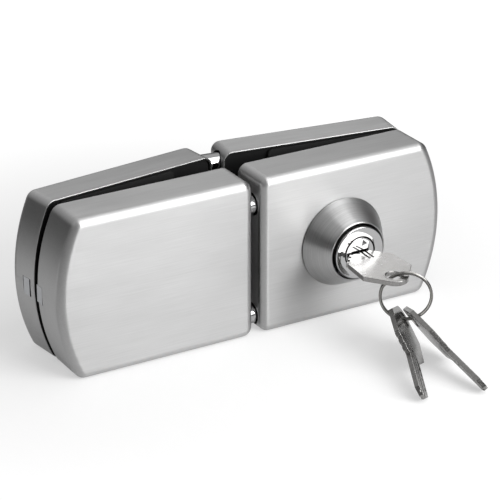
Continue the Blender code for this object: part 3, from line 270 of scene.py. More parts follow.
def newPiece(name, mesh, materials, matrix=None, sharp=30.0):
    # The matrix goes into the mesh, so that the piece's box is as tight as the node's
    if matrix:
        mesh.transform(matrix)
    marks = [face.material_index for face in mesh.polygons]
    mesh.materials.clear()
    for material in materials:
        mesh.materials.append(material)
    mesh.polygons.foreach_set("material_index", [min(mark, len(materials) - 1) for mark in marks])
    mesh.shade_smooth()
    mesh.set_sharp_from_angle(angle=math.radians(sharp))
    piece = bpy.data.objects.new(name, mesh)
    scene.collection.objects.link(piece)
    return piece


def standsFor(piece, node, body):
    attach(piece, body)
    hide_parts(node)


def meshFrom(bm, name):
    bmesh.ops.recalc_face_normals(bm, faces=bm.faces)
    mesh = bpy.data.meshes.new(name)
    bm.to_mesh(mesh)
    bm.free()
    return mesh


def appliedMesh(thing):
    bpy.context.view_layer.update()
    graph = bpy.context.evaluated_depsgraph_get()
    mesh = bpy.data.meshes.new_from_object(thing.evaluated_get(graph), depsgraph=graph)
    bpy.data.objects.remove(thing, do_unlink=True)
    return mesh


def shaped(mesh, steps):
    # Cuts or joins each (operation, mesh) in turn and gives back the finished mesh
    thing = bpy.data.objects.new("work", mesh)
    scene.collection.objects.link(thing)
    tools = []
    for operation, toolMesh in steps:
        tool = bpy.data.objects.new("tool", toolMesh)
        scene.collection.objects.link(tool)
        tools.append(tool)
        modifier = thing.modifiers.new("shape", "BOOLEAN")
        modifier.operation = operation
        modifier.solver = "EXACT"
        modifier.object = tool
    result = appliedMesh(thing)
    for tool in tools:
        bpy.data.objects.remove(tool, do_unlink=True)
    return result


def arcPoints(centre, radius, start, end, steps):
    # Points of an arc, angles in degrees
    angles = [math.radians(start + (end - start) * step / steps) for step in range(steps + 1)]
    return [(centre[0] + radius * math.cos(a), centre[1] + radius * math.sin(a)) for a in angles]


def turnedMesh(name, profile, toward, steps=96, closed=False):
    # Sweeps (radius, along) points in mm round the axis that points toward a side
    axis = Vector(toward)
    first = axis.orthogonal().normalized()
    second = axis.cross(first)
    bm = bmesh.new()
    rings = []
    for radius, along in profile:
        if radius < 1e-6:
            rings.append([bm.verts.new(axis * along * mm)])
            continue
        ring = []
        for step in range(steps):
            angle = 2 * math.pi * step / steps
            out = first * math.cos(angle) + second * math.sin(angle)
            ring.append(bm.verts.new((out * radius + axis * along) * mm))
        rings.append(ring)
    pairs = list(zip(rings, rings[1:])) + ([(rings[-1], rings[0])] if closed else [])
    for one, other in pairs:
        for step in range(steps):
            after = (step + 1) % steps
            corners = [one[step % len(one)], one[after % len(one)],
                       other[after % len(other)], other[step % len(other)]]
            unique = list(dict.fromkeys(corners))
            if len(unique) > 2:
                bm.faces.new(unique)
    return meshFrom(bm, name)


def prismMesh(name, outline, start, end, frameMatrix=None):
    # Sweeps a flat outline in mm along its own +Z from start to end
    bm = bmesh.new()
    low = [bm.verts.new((x * mm, y * mm, start * mm)) for x, y in outline]
    high = [bm.verts.new((x * mm, y * mm, end * mm)) for x, y in outline]
    bm.faces.new(low)
    bm.faces.new(high)
    for step in range(len(outline)):
        after = (step + 1) % len(outline)
        bm.faces.new((low[step], low[after], high[after], high[step]))
    if frameMatrix:
        bmesh.ops.transform(bm, matrix=frameMatrix, verts=bm.verts)
    return meshFrom(bm, name)


def boxMesh(name, low, high):
    outline = [(low[0], low[1]), (high[0], low[1]), (high[0], high[1]), (low[0], high[1])]
    return prismMesh(name, outline, low[2], high[2])


# Pressed covers, sizes in mm and degrees. Depths are measured from the rim towards the face.
coverSizes = {
    "height": 76.0, "wall": 1.2, "frontDepth": 21.6, "rearDepth": 18.4, "fillet": 3.6,
    "meetingEdge": 2.1, "endReach": 98.96, "endRadius": 83.8, "innerCorner": 4.6, "leastCorner": 1.0,
    "outerCorner": 5.2,
    "rimRound": 0.22, "brightRim": 0.34, "rimFlat": 0.3, "filletFlat": 0.4,
    "arcSteps": 10, "endSteps": 48, "filletSteps": 10, "rimSteps": 3, "holeSteps": 24, "sharp": 32,
    "glassGap": 13.9, "hingeX": 9.0,
    "boltHole": 5.4, "boltHigh": 23.4, "boltLow": -30.9, "frontBoltDepth": 12.5, "rearBoltDepth": 8.0,
    "socketSweep": (-0.4, 1.9), "meetingCut": (0.9, 6.7), "endCut": (-3.6, 1.2),
    "catchLevel": -2.0, "catchHalf": 4.25, "frontNotch": (-1.2, 4.4), "rearSlot": (3.0, 9.0),
    "coneHole": 15.1, "spindleHole": 4.0, "drillStart": 3.0, "drillEnd": 6.0,
    "cylinderX": 44.4, "cylinderZ": -0.9,
}


def halfOutline(sizes, inset):
    # Outline of the lock half at an inset from its outer walls, starting at the lower meeting corner
    level = sizes["height"] / 2 - inset
    left = sizes["meetingEdge"] + inset
    near = max(sizes["innerCorner"] - inset, sizes["leastCorner"])
    far = sizes["outerCorner"] - inset
    reach = sizes["endRadius"] - inset
    centre = sizes["endReach"] - sizes["endRadius"]
    farX = centre + math.sqrt((reach - far) ** 2 - (level - far) ** 2)
    swing = math.degrees(math.atan2(level - far, farX - centre))
    steps = sizes["arcSteps"]
    points = arcPoints((left + near, -level + near), near, 180, 270, steps)
    points += arcPoints((farX, -level + far), far, -90, -swing, steps)
    points += arcPoints((centre, 0), reach, -swing, swing, sizes["endSteps"])[1:-1]
    points += arcPoints((farX, level - far), far, swing, 90, steps)
    points += arcPoints((left + near, level - near), near, 90, 180, steps)
    return points


def coverSection(sizes, depth):
    # (inset, depth) of each loop, from the middle of the face outwards and back inside
    fillet = sizes["fillet"]
    wall = sizes["wall"]
    rim = sizes["rimRound"]
    inner = fillet - wall
    count = sizes["filletSteps"]
    bend = [math.pi / 2 * step / count for step in range(count + 1)]
    count = sizes["rimSteps"]
    edge = [math.pi / 2 * step / count for step in range(count + 1)]
    filletFlat = sizes["filletFlat"]
    rimFlat = rim + sizes["rimFlat"]
    loops = [(fillet + filletFlat, depth)]
    loops += [(fillet - fillet * math.sin(a), depth - fillet + fillet * math.cos(a)) for a in bend]
    loops += [(0, depth - fillet - filletFlat), (0, rimFlat)]
    loops += [(rim - rim * math.cos(a), rim - rim * math.sin(a)) for a in edge]
    loops += [(sizes["brightRim"], 0)]
    loops += [(wall - rim + rim * math.sin(a), rim - rim * math.cos(a)) for a in edge]
    loops += [(wall, rimFlat)]
    loops += [(fillet - inner * math.cos(a), depth - fillet + inner * math.sin(a)) for a in bend]
    loops += [(fillet + filletFlat, depth - wall)]
    return loops


def jawMatrix(sizes, side, rear):
    if not rear:
        return Matrix.Identity(4)
    tilt = math.radians(jawTilts["lock" if side > 0 else "strike"])
    pivot = Vector((side * sizes["hingeX"] * mm, sizes["glassGap"] / 2 * mm, 0))
    return Matrix.Translation(pivot) @ Matrix.Rotation(-side * tilt, 4, "Z") @ Matrix.Translation(-pivot)


def placedDepth(sizes, rear, depth):
    return sizes["glassGap"] + depth if rear else -depth


def coverCuts(sizes, side, rear):
    # Bolt holes in the meeting wall, the catch's opening in the end wall, and the hole for the lock
    boltDepth = sizes["rearBoltDepth"] if rear else sizes["frontBoltDepth"]
    levels = (sizes["boltHigh"], sizes["boltLow"])
    if rear:
        levels = (-sizes["boltLow"], -sizes["boltHigh"])
    cuts = []
    # Turns a prism so that it runs along X
    acrossX = Matrix(((0, 0, 1, 0), (1, 0, 0, 0), (0, 1, 0, 0), (0, 0, 0, 1)))
    ends = sorted(side * value for value in sizes["meetingCut"])
    for level in levels:
        depths = [boltDepth, boltDepth]
        if rear and side < 0:
            depths = [boltDepth + sweep for sweep in sizes["socketSweep"]]
        ys = sorted(placedDepth(sizes, rear, value) for value in depths)
        steps = sizes["holeSteps"]
        outline = arcPoints((ys[1], level), sizes["boltHole"], -90, 90, steps)
        outline += arcPoints((ys[0], level), sizes["boltHole"], 90, 270, steps)
        if ys[0] == ys[1]:
            outline = arcPoints((ys[0], level), sizes["boltHole"], 0, 360 - 180 / steps, 2 * steps - 1)
        cuts.append(("DIFFERENCE", prismMesh("boltHole", outline, ends[0], ends[1], acrossX)))
    span = sorted(side * (sizes["endReach"] + value) for value in sizes["endCut"])
    depths = sizes["rearSlot"] if rear else sizes["frontNotch"]
    ys = sorted(placedDepth(sizes, rear, value) for value in depths)
    low = sizes["catchLevel"] - sizes["catchHalf"]
    high = sizes["catchLevel"] + sizes["catchHalf"]
    cuts.append(("DIFFERENCE", boxMesh("catchOpening", (span[0], ys[0], low), (span[1], ys[1], high))))
    if side > 0:
        depth = sizes["rearDepth"] if rear else sizes["frontDepth"]
        radius = sizes["spindleHole"] if rear else sizes["coneHole"]
        level = -sizes["cylinderZ"] if rear else sizes["cylinderZ"]
        start = placedDepth(sizes, rear, depth - sizes["drillStart"])
        toward = (0, 1, 0) if rear else (0, -1, 0)
        end = sizes["drillEnd"]
        drill = turnedMesh("drill", [(0, 0), (radius, 0), (radius, end), (0, end)], toward)
        drill.transform(Matrix.Translation(Vector((sizes["cylinderX"], start, level)) * mm))
        cuts.append(("DIFFERENCE", drill))
    return cuts


def coverMesh(sizes, side, rear):
    depth = sizes["rearDepth"] if rear else sizes["frontDepth"]
    bm = bmesh.new()
    loops = []
    section = coverSection(sizes, depth)
    for inset, level in section:
        y = placedDepth(sizes, rear, level) * mm
        loops.append([bm.verts.new((side * x * mm, y, z * mm)) for x, z in halfOutline(sizes, inset)])
    rimLoop = next(step for step, (inset, _) in enumerate(section) if inset == sizes["brightRim"])
    for place, (one, other) in enumerate(zip(loops, loops[1:])):
        for step in range(len(one)):
            after = (step + 1) % len(one)
            face = bm.faces.new((one[step], one[after], other[after], other[step]))
            # From the middle of the rim inwards the faces take the painted shade of the cover's inside
            face.material_index = 1 if place >= rimLoop else 0
    bm.faces.new(loops[0])
    bm.faces.new(loops[-1]).material_index = 1
    return shaped(meshFrom(bm, "cover"), coverCuts(sizes, side, rear))


def makeCovers(sizes):
    for half, side in (("strike", -1), ("lock", 1)):
        for jaw, rear in (("front", False), ("rear", True)):
            name = f"{half}_{jaw}"
            mesh = coverMesh(sizes, side, rear)
            material = linishedStainless
            if rear:
                material = linishedRearLock if side > 0 else linishedRearStrike
            matrix = jawMatrix(sizes, side, rear)
            # The second material is the painted shade inside the cover
            piece = newPiece(f"{name}_cover_shell", mesh, [material, coverInsideShade], matrix, sizes["sharp"])
            weighted = piece.modifiers.new("evenShading", "WEIGHTED_NORMAL")
            weighted.keep_sharp = True
            standsFor(piece, f"{name}_cover", name)


makeCovers(coverSizes)
print("covers pressed")

# Round bolts with a rounded nose, sizes in mm
boltSizes = {
    "radius": 4.5, "tip": -8.199, "tail": 28.0, "nose": 1.3, "noseSteps": 8, "tailEdge": 0.6, "steps": 64,
}


def makeBolts(sizes, covers):
    radius = sizes["radius"]
    nose = sizes["nose"]
    length = sizes["tail"] - sizes["tip"]
    edge = sizes["tailEdge"]
    profile = [(0, 0)] + arcPoints((radius - nose, nose), nose, -90, 0, sizes["noseSteps"])
    profile += [(radius, length - edge), (radius - edge, length), (0, length)]
    for jaw, rear in (("front", False), ("rear", True)):
        depth = covers["rearBoltDepth"] if rear else covers["frontBoltDepth"]
        levels = {"upper": covers["boltHigh"], "lower": covers["boltLow"]}
        if rear:
            levels = {"upper": -covers["boltLow"], "lower": -covers["boltHigh"]}
        for row, level in levels.items():
            mesh = turnedMesh("bolt", profile, (1, 0, 0), sizes["steps"])
            place = Vector((sizes["tip"], placedDepth(covers, rear, depth), level)) * mm
            matrix = jawMatrix(covers, 1, rear) @ Matrix.Translation(place)
            piece = newPiece(f"lock_{jaw}_{row}_bolt_turned", mesh, [polishedChrome], matrix)
            standsFor(piece, f"lock_{jaw}_{row}_bolt", f"{jaw}_bolts")


makeBolts(boltSizes, coverSizes)
print("bolts turned")

# Escutcheon cone, cylinder and plug, sizes in mm and degrees
cylinderSizes = {
    "faceY": -36.9, "radius": 12.5, "tail": 9.8, "flangeReach": 1.9, "flangeThickness": 1.5, "edge": 0.5,
    "plugRadius": 7.35, "plugGap": 0.55, "shank": 5.0, "shankEnd": 36.0,
    "keywayWide": 4.6, "keywayHigh": 1.5, "keywayDeep": 25.7,
    "markReach": 1.9, "markTop": 0.02, "markDepth": 0.7, "markRadius": 4.9, "markAngles": (65, 203),
    "coneBase": 21.3, "coneLip": 14.5, "coneMouth": 13.6, "coneProud": 13.3, "coneSlope": 27,
    "lipRound": 0.8, "footRound": 0.3, "mouthRound": 0.15, "plugShort": 0.3,
    "shankOverlap": 2.0, "cutPast": 1.0, "lipSteps": 8, "footSteps": 6, "boreSteps": 4, "rimSteps": 6,
    "plugSteps": 5, "sharp": 35,
    "spigotWall": 1.2, "spigotLength": 1.6, "seatGap": 0.3, "steps": 128,
}


def makeEscutcheon(sizes, covers):
    lip = arcPoints((sizes["coneLip"] - sizes["lipRound"], sizes["coneProud"] - sizes["lipRound"]),
                    sizes["lipRound"], 90, sizes["coneSlope"], sizes["lipSteps"])
    spigot = sizes["coneMouth"] + sizes["spigotWall"]
    mouth = sizes["coneMouth"]
    small = sizes["mouthRound"]
    low = sizes["footRound"]
    foot = arcPoints((sizes["coneBase"] - low, low), low, sizes["coneSlope"], -90, sizes["footSteps"])
    profile = [(mouth, -sizes["spigotLength"]), (mouth, sizes["coneProud"] - small),
               (mouth + small, sizes["coneProud"])]
    profile += lip + foot + [(spigot, 0), (spigot, -sizes["spigotLength"])]
    mesh = turnedMesh("escutcheon", profile, (0, -1, 0), sizes["steps"], True)
    place = Vector((covers["cylinderX"], -covers["frontDepth"] - sizes["seatGap"], covers["cylinderZ"])) * mm
    piece = newPiece("escutcheon_turned", mesh, [turnedStainless], Matrix.Translation(place), sizes["sharp"])
    standsFor(piece, "escutcheon", "lock_front")


def makeCylinder(sizes, covers):
    length = -sizes["faceY"] - sizes["tail"]
    flange = -sizes["faceY"] - (covers["frontDepth"] - covers["wall"] - 3 * sizes["seatGap"])
    outer = sizes["radius"]
    bore = sizes["plugRadius"] + sizes["plugGap"]
    edge = sizes["edge"]
    rim = outer + sizes["flangeReach"]
    thick = sizes["flangeThickness"]
    small = edge / 2
    profile = arcPoints((bore + small, -small), small, 180, 90, sizes["boreSteps"])
    profile += arcPoints((outer - edge, -edge), edge, 90, 0, sizes["rimSteps"])
    profile += [(outer, -flange), (rim, -flange), (rim, -flange - thick), (outer, -flange - thick),
                (outer, -length), (bore, -length)]
    mesh = turnedMesh("cylinder", profile, (0, -1, 0), sizes["steps"], True)
    # The bore takes the painted shade of the gap round the plug
    for face in mesh.polygons:
        inBore = math.hypot(face.center.x, face.center.z) < (bore + small / 2) * mm
        face.material_index = 1 if inBore else 0
    place = Vector((covers["cylinderX"], sizes["faceY"], covers["cylinderZ"])) * mm
    piece = newPiece("cylinder_turned", mesh, [polishedChrome, boreShade], Matrix.Translation(place))
    standsFor(piece, "cylinder", "lock_front")


def makePlug(sizes, covers):
    length = -sizes["faceY"] - sizes["tail"] - sizes["plugShort"]
    radius = sizes["plugRadius"]
    edge = sizes["edge"] / 2
    past = sizes["cutPast"]
    profile = [(0, 0)] + arcPoints((radius - edge, -edge), edge, 90, 0, sizes["plugSteps"])
    profile += [(radius, -length), (0, -length)]
    body = turnedMesh("plug", profile, (0, -1, 0), sizes["steps"])
    half = sizes["shank"] / 2
    start = length - sizes["shankOverlap"]
    steps = [
        ("UNION", boxMesh("shank", (-half, start, -half), (half, sizes["shankEnd"], half))),
        ("DIFFERENCE", boxMesh("keyway", (-sizes["keywayWide"], -past, -sizes["keywayHigh"]),
                               (sizes["keywayWide"], sizes["keywayDeep"], sizes["keywayHigh"])))]
    reach = sizes["markReach"]
    centres = [(sizes["markRadius"] * math.cos(math.radians(angle)),
                sizes["markRadius"] * math.sin(math.radians(angle))) for angle in sizes["markAngles"]]
    profile = [(0, -sizes["markDepth"]), (reach, 0), (reach, past), (0, past)]
    for x, z in centres:
        mark = turnedMesh("mark", profile, (0, -1, 0), 3)
        mark.transform(Matrix.Translation(Vector((x, 0, z)) * mm))
        steps.append(("DIFFERENCE", mark))
    mesh = shaped(body, steps)
    # The deeper middle of each punched mark takes the painted shade
    for face in mesh.polygons:
        x, y, z = face.center / mm
        sunk = sizes["markTop"] < y < sizes["markDepth"]
        if sunk and min(math.hypot(x - a, z - b) for a, b in centres) < reach / 2:
            face.material_index = 1
    place = Vector((covers["cylinderX"], sizes["faceY"], covers["cylinderZ"])) * mm
    piece = newPiece("plug_turned", mesh, [polishedChrome, markPitShade], Matrix.Translation(place))
    standsFor(piece, "plug", "key_plug")


makeEscutcheon(cylinderSizes, coverSizes)
makeCylinder(cylinderSizes, coverSizes)
makePlug(cylinderSizes, coverSizes)
print("cylinder, plug and escutcheon turned")

# Keys, in mm: +Y runs from the middle of the ring hole to the tip, and X across the flat
keySizes = {
    "thickness": 2.2, "bladeWidth": 8.4, "shoulder": 27.2, "tip": 52.5, "tipCut": 3.0,
    "bowBackHalf": 11.8, "bowFrontHalf": 12.75, "bowFront": 4.9, "bowBack": 18.9,
    "nose": 6.9, "noseBack": 4.05, "noseHalf": 5.4, "hole": 3.5, "holeFlare": 0.45,
    "edgeRound": 0.16, "edgeAngle": 50, "noseSteps": 24, "holeSteps": 48, "dimpleSteps": 20,
    "grooveRows": (0.2, 2.3), "grooveWidth": 0.9, "grooveDepth": 0.55, "grooveRunOut": 7.6,
    "notchStarts": (1.2, 4.7, 8.2), "notchWidth": 2.0, "notchDepth": 1.1, "notchLean": 0.25,
    "rimOuter": 4.7, "rimHeight": 0.12, "rimEdge": (0.3, 0.25), "boreEnd": 3.0, "cutPast": 1.0,
    "dimpleRadius": 0.95, "dimpleDepth": 0.5,
    "dimples": ((-2.2, 33.0), (-2.6, 36.4), (-1.9, 39.8), (-2.5, 43.2), (-2.1, 46.6)),
}


def keyOutline(sizes):
    half = sizes["bladeWidth"] / 2
    sagitta = sizes["nose"] - sizes["noseBack"]
    radius = (sizes["noseHalf"] ** 2 + sagitta ** 2) / (2 * sagitta)
    spread = math.degrees(math.asin(sizes["noseHalf"] / radius))
    points = arcPoints((0, radius - sizes["nose"]), radius, -90 - spread, -90 + spread,
                       sizes["noseSteps"])
    points += [(sizes["bowFrontHalf"], sizes["bowFront"]), (sizes["bowBackHalf"], sizes["bowBack"])]
    points += [(half, sizes["shoulder"]), (half, sizes["tip"] - sizes["tipCut"])]
    points += [(half - sizes["tipCut"], sizes["tip"]), (sizes["tipCut"] - half, sizes["tip"])]
    points += [(-half, sizes["tip"] - sizes["tipCut"]), (-half, sizes["shoulder"])]
    root = Vector((-half, sizes["shoulder"]))
    corner = Vector((-sizes["bowBackHalf"], sizes["bowBack"]))
    along = (corner - root).normalized()
    deep = Vector((along.y, -along.x)) * sizes["notchDepth"] + along * sizes["notchLean"]
    for start in sizes["notchStarts"]:
        near = root + along * start
        far = near + along * sizes["notchWidth"]
        points += [tuple(near), tuple(near + deep), tuple(far + deep), tuple(far)]
    points += [tuple(corner), (-sizes["bowFrontHalf"], sizes["bowFront"])]
    return points


def keyMesh(sizes):
    thick = sizes["thickness"] / 2
    blank = prismMesh("key", keyOutline(sizes), -thick, thick)
    past = sizes["cutPast"]
    rimTop = thick + sizes["rimHeight"]
    outer = sizes["rimOuter"]
    edge, fall = sizes["rimEdge"]
    rim = [(0, -rimTop), (outer - edge, -rimTop), (outer, -rimTop + fall), (outer, rimTop - fall),
           (outer - edge, rimTop), (0, rimTop)]
    steps = [("UNION", turnedMesh("holeRim", rim, (0, 0, 1), sizes["holeSteps"]))]
    hole = sizes["hole"]
    flare = sizes["holeFlare"]
    bore = [(0, -sizes["boreEnd"]), (hole + 3 * flare, -rimTop - 2 * flare), (hole, -rimTop + flare),
            (hole, rimTop - flare), (hole + 3 * flare, rimTop + 2 * flare), (0, sizes["boreEnd"])]
    steps.append(("DIFFERENCE", turnedMesh("hole", bore, (0, 0, 1), sizes["holeSteps"])))
    deep = sizes["grooveDepth"]
    half = sizes["grooveWidth"] / 2
    for face in (1, -1):
        for row in sizes["grooveRows"]:
            across = sorted((face * (row - half), face * (row + half)))
            out = sorted((face * (thick - deep), face * (thick + past)))
            start = sizes["shoulder"] - sizes["grooveRunOut"]
            groove = boxMesh("groove", (across[0], start, out[0]), (across[1], sizes["tip"] + past, out[1]))
            steps.append(("DIFFERENCE", groove))
        for x, y in sizes["dimples"]:
            radius = sizes["dimpleRadius"]
            cone = [(0, -sizes["dimpleDepth"]), (radius, 0), (radius, past), (0, past)]
            dimple = turnedMesh("dimple", cone, (0, 0, face), sizes["dimpleSteps"])
            dimple.transform(Matrix.Translation(Vector((face * x, y, face * thick)) * mm))
            steps.append(("DIFFERENCE", dimple))
    return shaped(blank, steps)


# Split ring, in mm and degrees: aside and drop lead from the key's hole to the ring's middle
ringSizes = {
    "radius": 11.4, "wire": 0.68, "flatten": 0.55, "turns": 2.0, "turnGap": 0.12, "steps": 96,
    "facing": -30.3, "aside": 5.7, "drop": 9.2, "start": 152.0, "wireSteps": 12, "sharp": 50,
}

# How the keys lie, in mm and degrees
keyPlaces = {
    "droop": 1.6, "holeToFace": 27.6, "hang": 0.98, "floorGap": 0.1, "steepest": 45, "halvings": 24,
    "spare_key_1": {"alongRing": -1.5, "heading": 23.4, "roll": 33.0},
    "spare_key_2": {"alongRing": 3.8, "heading": -3.0, "roll": 37.0},
}


def keyHole(places, keys, cylinder, covers):
    inside = keys["tip"] - places["holeToFace"]
    fall = (places["holeToFace"] + inside / 2) * math.sin(math.radians(places["droop"]))
    return Vector((covers["cylinderX"], cylinder["faceY"] - places["holeToFace"], covers["cylinderZ"] - fall))


def hangingPose(places, pose, keys, ring, ringMiddle, floor):
    # A key on the ring's lowest part, turned by heading, slope and roll until its tip nears the floor,
    # with its notched edge on the near side
    facing = math.radians(ring["facing"])
    ringAlong = Vector((math.cos(facing), math.sin(facing), 0))
    drop = math.sqrt(ring["radius"] ** 2 - pose["alongRing"] ** 2)
    wire = ringMiddle + ringAlong * pose["alongRing"] - Vector((0, 0, drop))
    half = keys["bladeWidth"] / 2
    thick = keys["thickness"] / 2
    tip = keys["tip"]
    cut = keys["tipCut"]
    corners = [(x, y, z) for z in (-thick, thick) for sign in (-1, 1)
               for x, y in ((sign * half, tip - cut), (sign * (half - cut), tip))]
    shallow = 0
    steep = math.radians(places["steepest"])
    for _ in range(places["halvings"]):
        slope = (shallow + steep) / 2
        turn = keyTurn(math.radians(pose["heading"]), slope, math.radians(pose["roll"]))
        place = wire + turn.col[1] * places["hang"]
        lowest = min((place + turn @ Vector(corner)).z for corner in corners)
        if lowest < floor + places["floorGap"]:
            steep = slope
        else:
            shallow = slope
    matrix = turn.to_4x4() @ Matrix.Rotation(math.pi, 4, "Y")
    matrix.translation = place * mm
    return matrix


def keyTurn(heading, slope, roll):
    flat = math.cos(slope)
    tip = Vector((-math.sin(heading) * flat, -math.cos(heading) * flat, -math.sin(slope)))
    level = Vector((0, 0, 1)).cross(tip).normalized()
    upright = tip.cross(level)
    lift = 1 if upright.z > 0 else -1
    edge = upright * lift * math.cos(roll) - level * math.sin(roll)
    return Matrix((edge, tip, edge.cross(tip))).transposed()


def makeKeys(keys, places, ring, cylinder, covers):
    hole = keyHole(places, keys, cylinder, covers)
    facing = math.radians(ring["facing"])
    sideways = Vector((math.cos(facing), math.sin(facing), 0)) * ring["aside"]
    ringMiddle = hole + sideways - Vector((0, 0, ring["drop"]))
    inserted = Matrix.Rotation(math.radians(places["droop"]), 4, "X")
    inserted.translation = hole * mm
    matrices = {"key": inserted}
    for name in ("spare_key_1", "spare_key_2"):
        matrices[name] = hangingPose(places, places[name], keys, ring, ringMiddle, -covers["height"] / 2)
    for name, matrix in matrices.items():
        piece = newPiece(f"{name}_stamped", keyMesh(keys), [nickelPlate], matrix)
        rounding = piece.modifiers.new("stampedEdge", "BEVEL")
        rounding.width = keys["edgeRound"] * mm
        rounding.segments = 2
        rounding.limit_method = "ANGLE"
        rounding.angle_limit = math.radians(keys["edgeAngle"])
        standsFor(piece, name, name)
    makeRing(ring, ringMiddle)


def makeRing(ring, middle):
    # Split ring: one flattened wire wound twice round, standing in its own upright plane
    facing = math.radians(ring["facing"])
    across = Vector((math.cos(facing), math.sin(facing), 0))
    axis = Vector((math.sin(facing), -math.cos(facing), 0))
    wire = ring["wire"]
    flat = wire * ring["flatten"]
    pitch = 2 * flat + ring["turnGap"]
    count = int(ring["steps"] * ring["turns"])
    bm = bmesh.new()
    loops = []
    for step in range(count + 1):
        turn = step / ring["steps"]
        angle = math.radians(ring["start"]) + 2 * math.pi * turn
        out = across * math.cos(angle) + Vector((0, 0, 1)) * math.sin(angle)
        centre = out * ring["radius"] + axis * pitch * (turn - ring["turns"] / 2)
        loop = []
        for side in range(ring["wireSteps"]):
            around = 2 * math.pi * side / ring["wireSteps"]
            point = centre + out * wire * math.cos(around) + axis * flat * math.sin(around)
            loop.append(bm.verts.new(point * mm))
        loops.append(loop)
    for one, other in zip(loops, loops[1:]):
        for side in range(len(one)):
            after = (side + 1) % len(one)
            bm.faces.new((one[side], one[after], other[after], other[side]))
    bm.faces.new(loops[0])
    bm.faces.new(loops[-1])
    matrix = Matrix.Translation(middle * mm)
    piece = newPiece("key_ring_wound", meshFrom(bm, "keyRing"), [nickelWire], matrix, ring["sharp"])
    standsFor(piece, "key_ring", "key_ring")


makeKeys(keySizes, keyPlaces, ringSizes, cylinderSizes, coverSizes)
print("keys stamped and ring wound")

# Thumb turn on its rose, sizes in mm
thumbSizes = {
    "roseRadius": 15.0, "roseThickness": 3.0, "roseEdge": 1.0, "collarRadius": 9.0, "collar": 4.0,
    "gripLength": 25.0, "gripWidth": 7.0, "gripDepth": 13.0, "gripRound": 2.6, "gripSteps": 6,
    "hole": 4.0, "seat": 0.3, "collarSeat": 0.3, "spindle": 5.0, "spindleStart": 1.2, "edge": 0.5,
    "steps": 96, "roseSteps": 6, "collarSteps": 5,
}


def makeThumbTurn(sizes, covers):
    matrix = jawMatrix(covers, 1, True)
    level = -covers["cylinderZ"]
    seat = placedDepth(covers, True, covers["rearDepth"] + sizes["seat"])
    radius = sizes["roseRadius"]
    top = sizes["roseThickness"]
    edge = sizes["roseEdge"]
    rose = arcPoints((radius - edge, top - edge), edge, 90, 0, sizes["roseSteps"])
    rose += [(radius, 0), (sizes["hole"], 0), (sizes["hole"], top)]
    place = Matrix.Translation(Vector((covers["cylinderX"], seat, level)) * mm)
    mesh = turnedMesh("rose", rose, (0, 1, 0), sizes["steps"], True)
    piece = newPiece("thumb_rose_turned", mesh, [turnedStainless], matrix @ place)
    standsFor(piece, "thumb_rose", "lock_rear")
    base = sizes["roseThickness"] + sizes["collarSeat"]
    edge = sizes["edge"]
    radius = sizes["collarRadius"]
    top = sizes["collar"]
    collar = [(0, top)] + arcPoints((radius - edge, top - edge), edge, 90, 0, sizes["collarSteps"])
    collar += [(radius, 0), (0, 0)]
    body = turnedMesh("collar", collar, (0, 1, 0), sizes["steps"])
    wide = sizes["gripWidth"] / 2
    tall = sizes["gripLength"] / 2
    gripBox = boxMesh("grip", (-wide, top / 2, -tall), (wide, top + sizes["gripDepth"], tall))
    grip = bpy.data.objects.new("grip", gripBox)
    scene.collection.objects.link(grip)
    rounding = grip.modifiers.new("round", "BEVEL")
    rounding.width = sizes["gripRound"] * mm
    rounding.segments = sizes["gripSteps"]
    half = sizes["spindle"] / 2
    start = sizes["spindleStart"] - covers["rearDepth"] - sizes["seat"] - base
    spindle = boxMesh("spindle", (-half, start, -half), (half, top / 2, half))
    mesh = shaped(body, [("UNION", appliedMesh(grip)), ("UNION", spindle)])
    place = Matrix.Translation(Vector((covers["cylinderX"], seat + base, level)) * mm)
    piece = newPiece("thumb_turn_knob", mesh, [turnedStainless], matrix @ place)
    standsFor(piece, "thumb_turn", "thumb_turn")


makeThumbTurn(thumbSizes, coverSizes)
print("thumb turn made")

# Floor and surroundings: lengths in mm, the rest are strengths and heights of a direction
studio = {
    "floorLevel": -38.0, "floorRadius": 1500.0, "floorSteps": 96, "floorColour": "#c2c2c2",
    "nearGlow": 0.48, "farGlow": 1.0, "glowFrom": 100.0, "glowTo": 460.0,  # mm from the lock
    "nearGloss": 0.2, "farGloss": 0.0, "glossFrom": 150.0, "glossTo": 420.0,
    "horizon": 0.05, "zenith": 0.5, "horizonEnd": 0.2, "zenithStart": 0.8,
    "wallGlow": 1.0, "wallGloss": 0.04,
}

# Area lamps, in mm and watts
lamps = {
    "frontRight": {"place": (272, -620, 330), "aim": (0, 0, 0), "size": (520, 400), "power": 4.2},
    "overhead": {"place": (140, -340, 700), "aim": (0, 0, 0), "size": (560, 420), "power": 1.5},
}


def backdropSeen(tree, direct, glossy):
    # The glow of a background: direct for the camera and through glass, glossy for a reflection of it
    path = addNode(tree, "ShaderNodeLightPath")
    straight = addNode(tree, "ShaderNodeMath", {"operation": "MAXIMUM"},
                       {0: path.outputs["Is Camera Ray"], 1: path.outputs["Is Transmission Ray"]})
    shown = addNode(tree, "ShaderNodeMath", {"operation": "MULTIPLY"}, {0: straight.outputs[0]})
    both = addNode(tree, "ShaderNodeMath", {"operation": "MULTIPLY_ADD"},
                   {0: path.outputs["Is Glossy Ray"], 2: shown.outputs[0]})
    for node, value in ((shown, direct), (both, glossy)):
        if isinstance(value, float):
            node.inputs[1].default_value = value
        else:
            tree.links.new(value, node.inputs[1])
    return both.outputs[0]


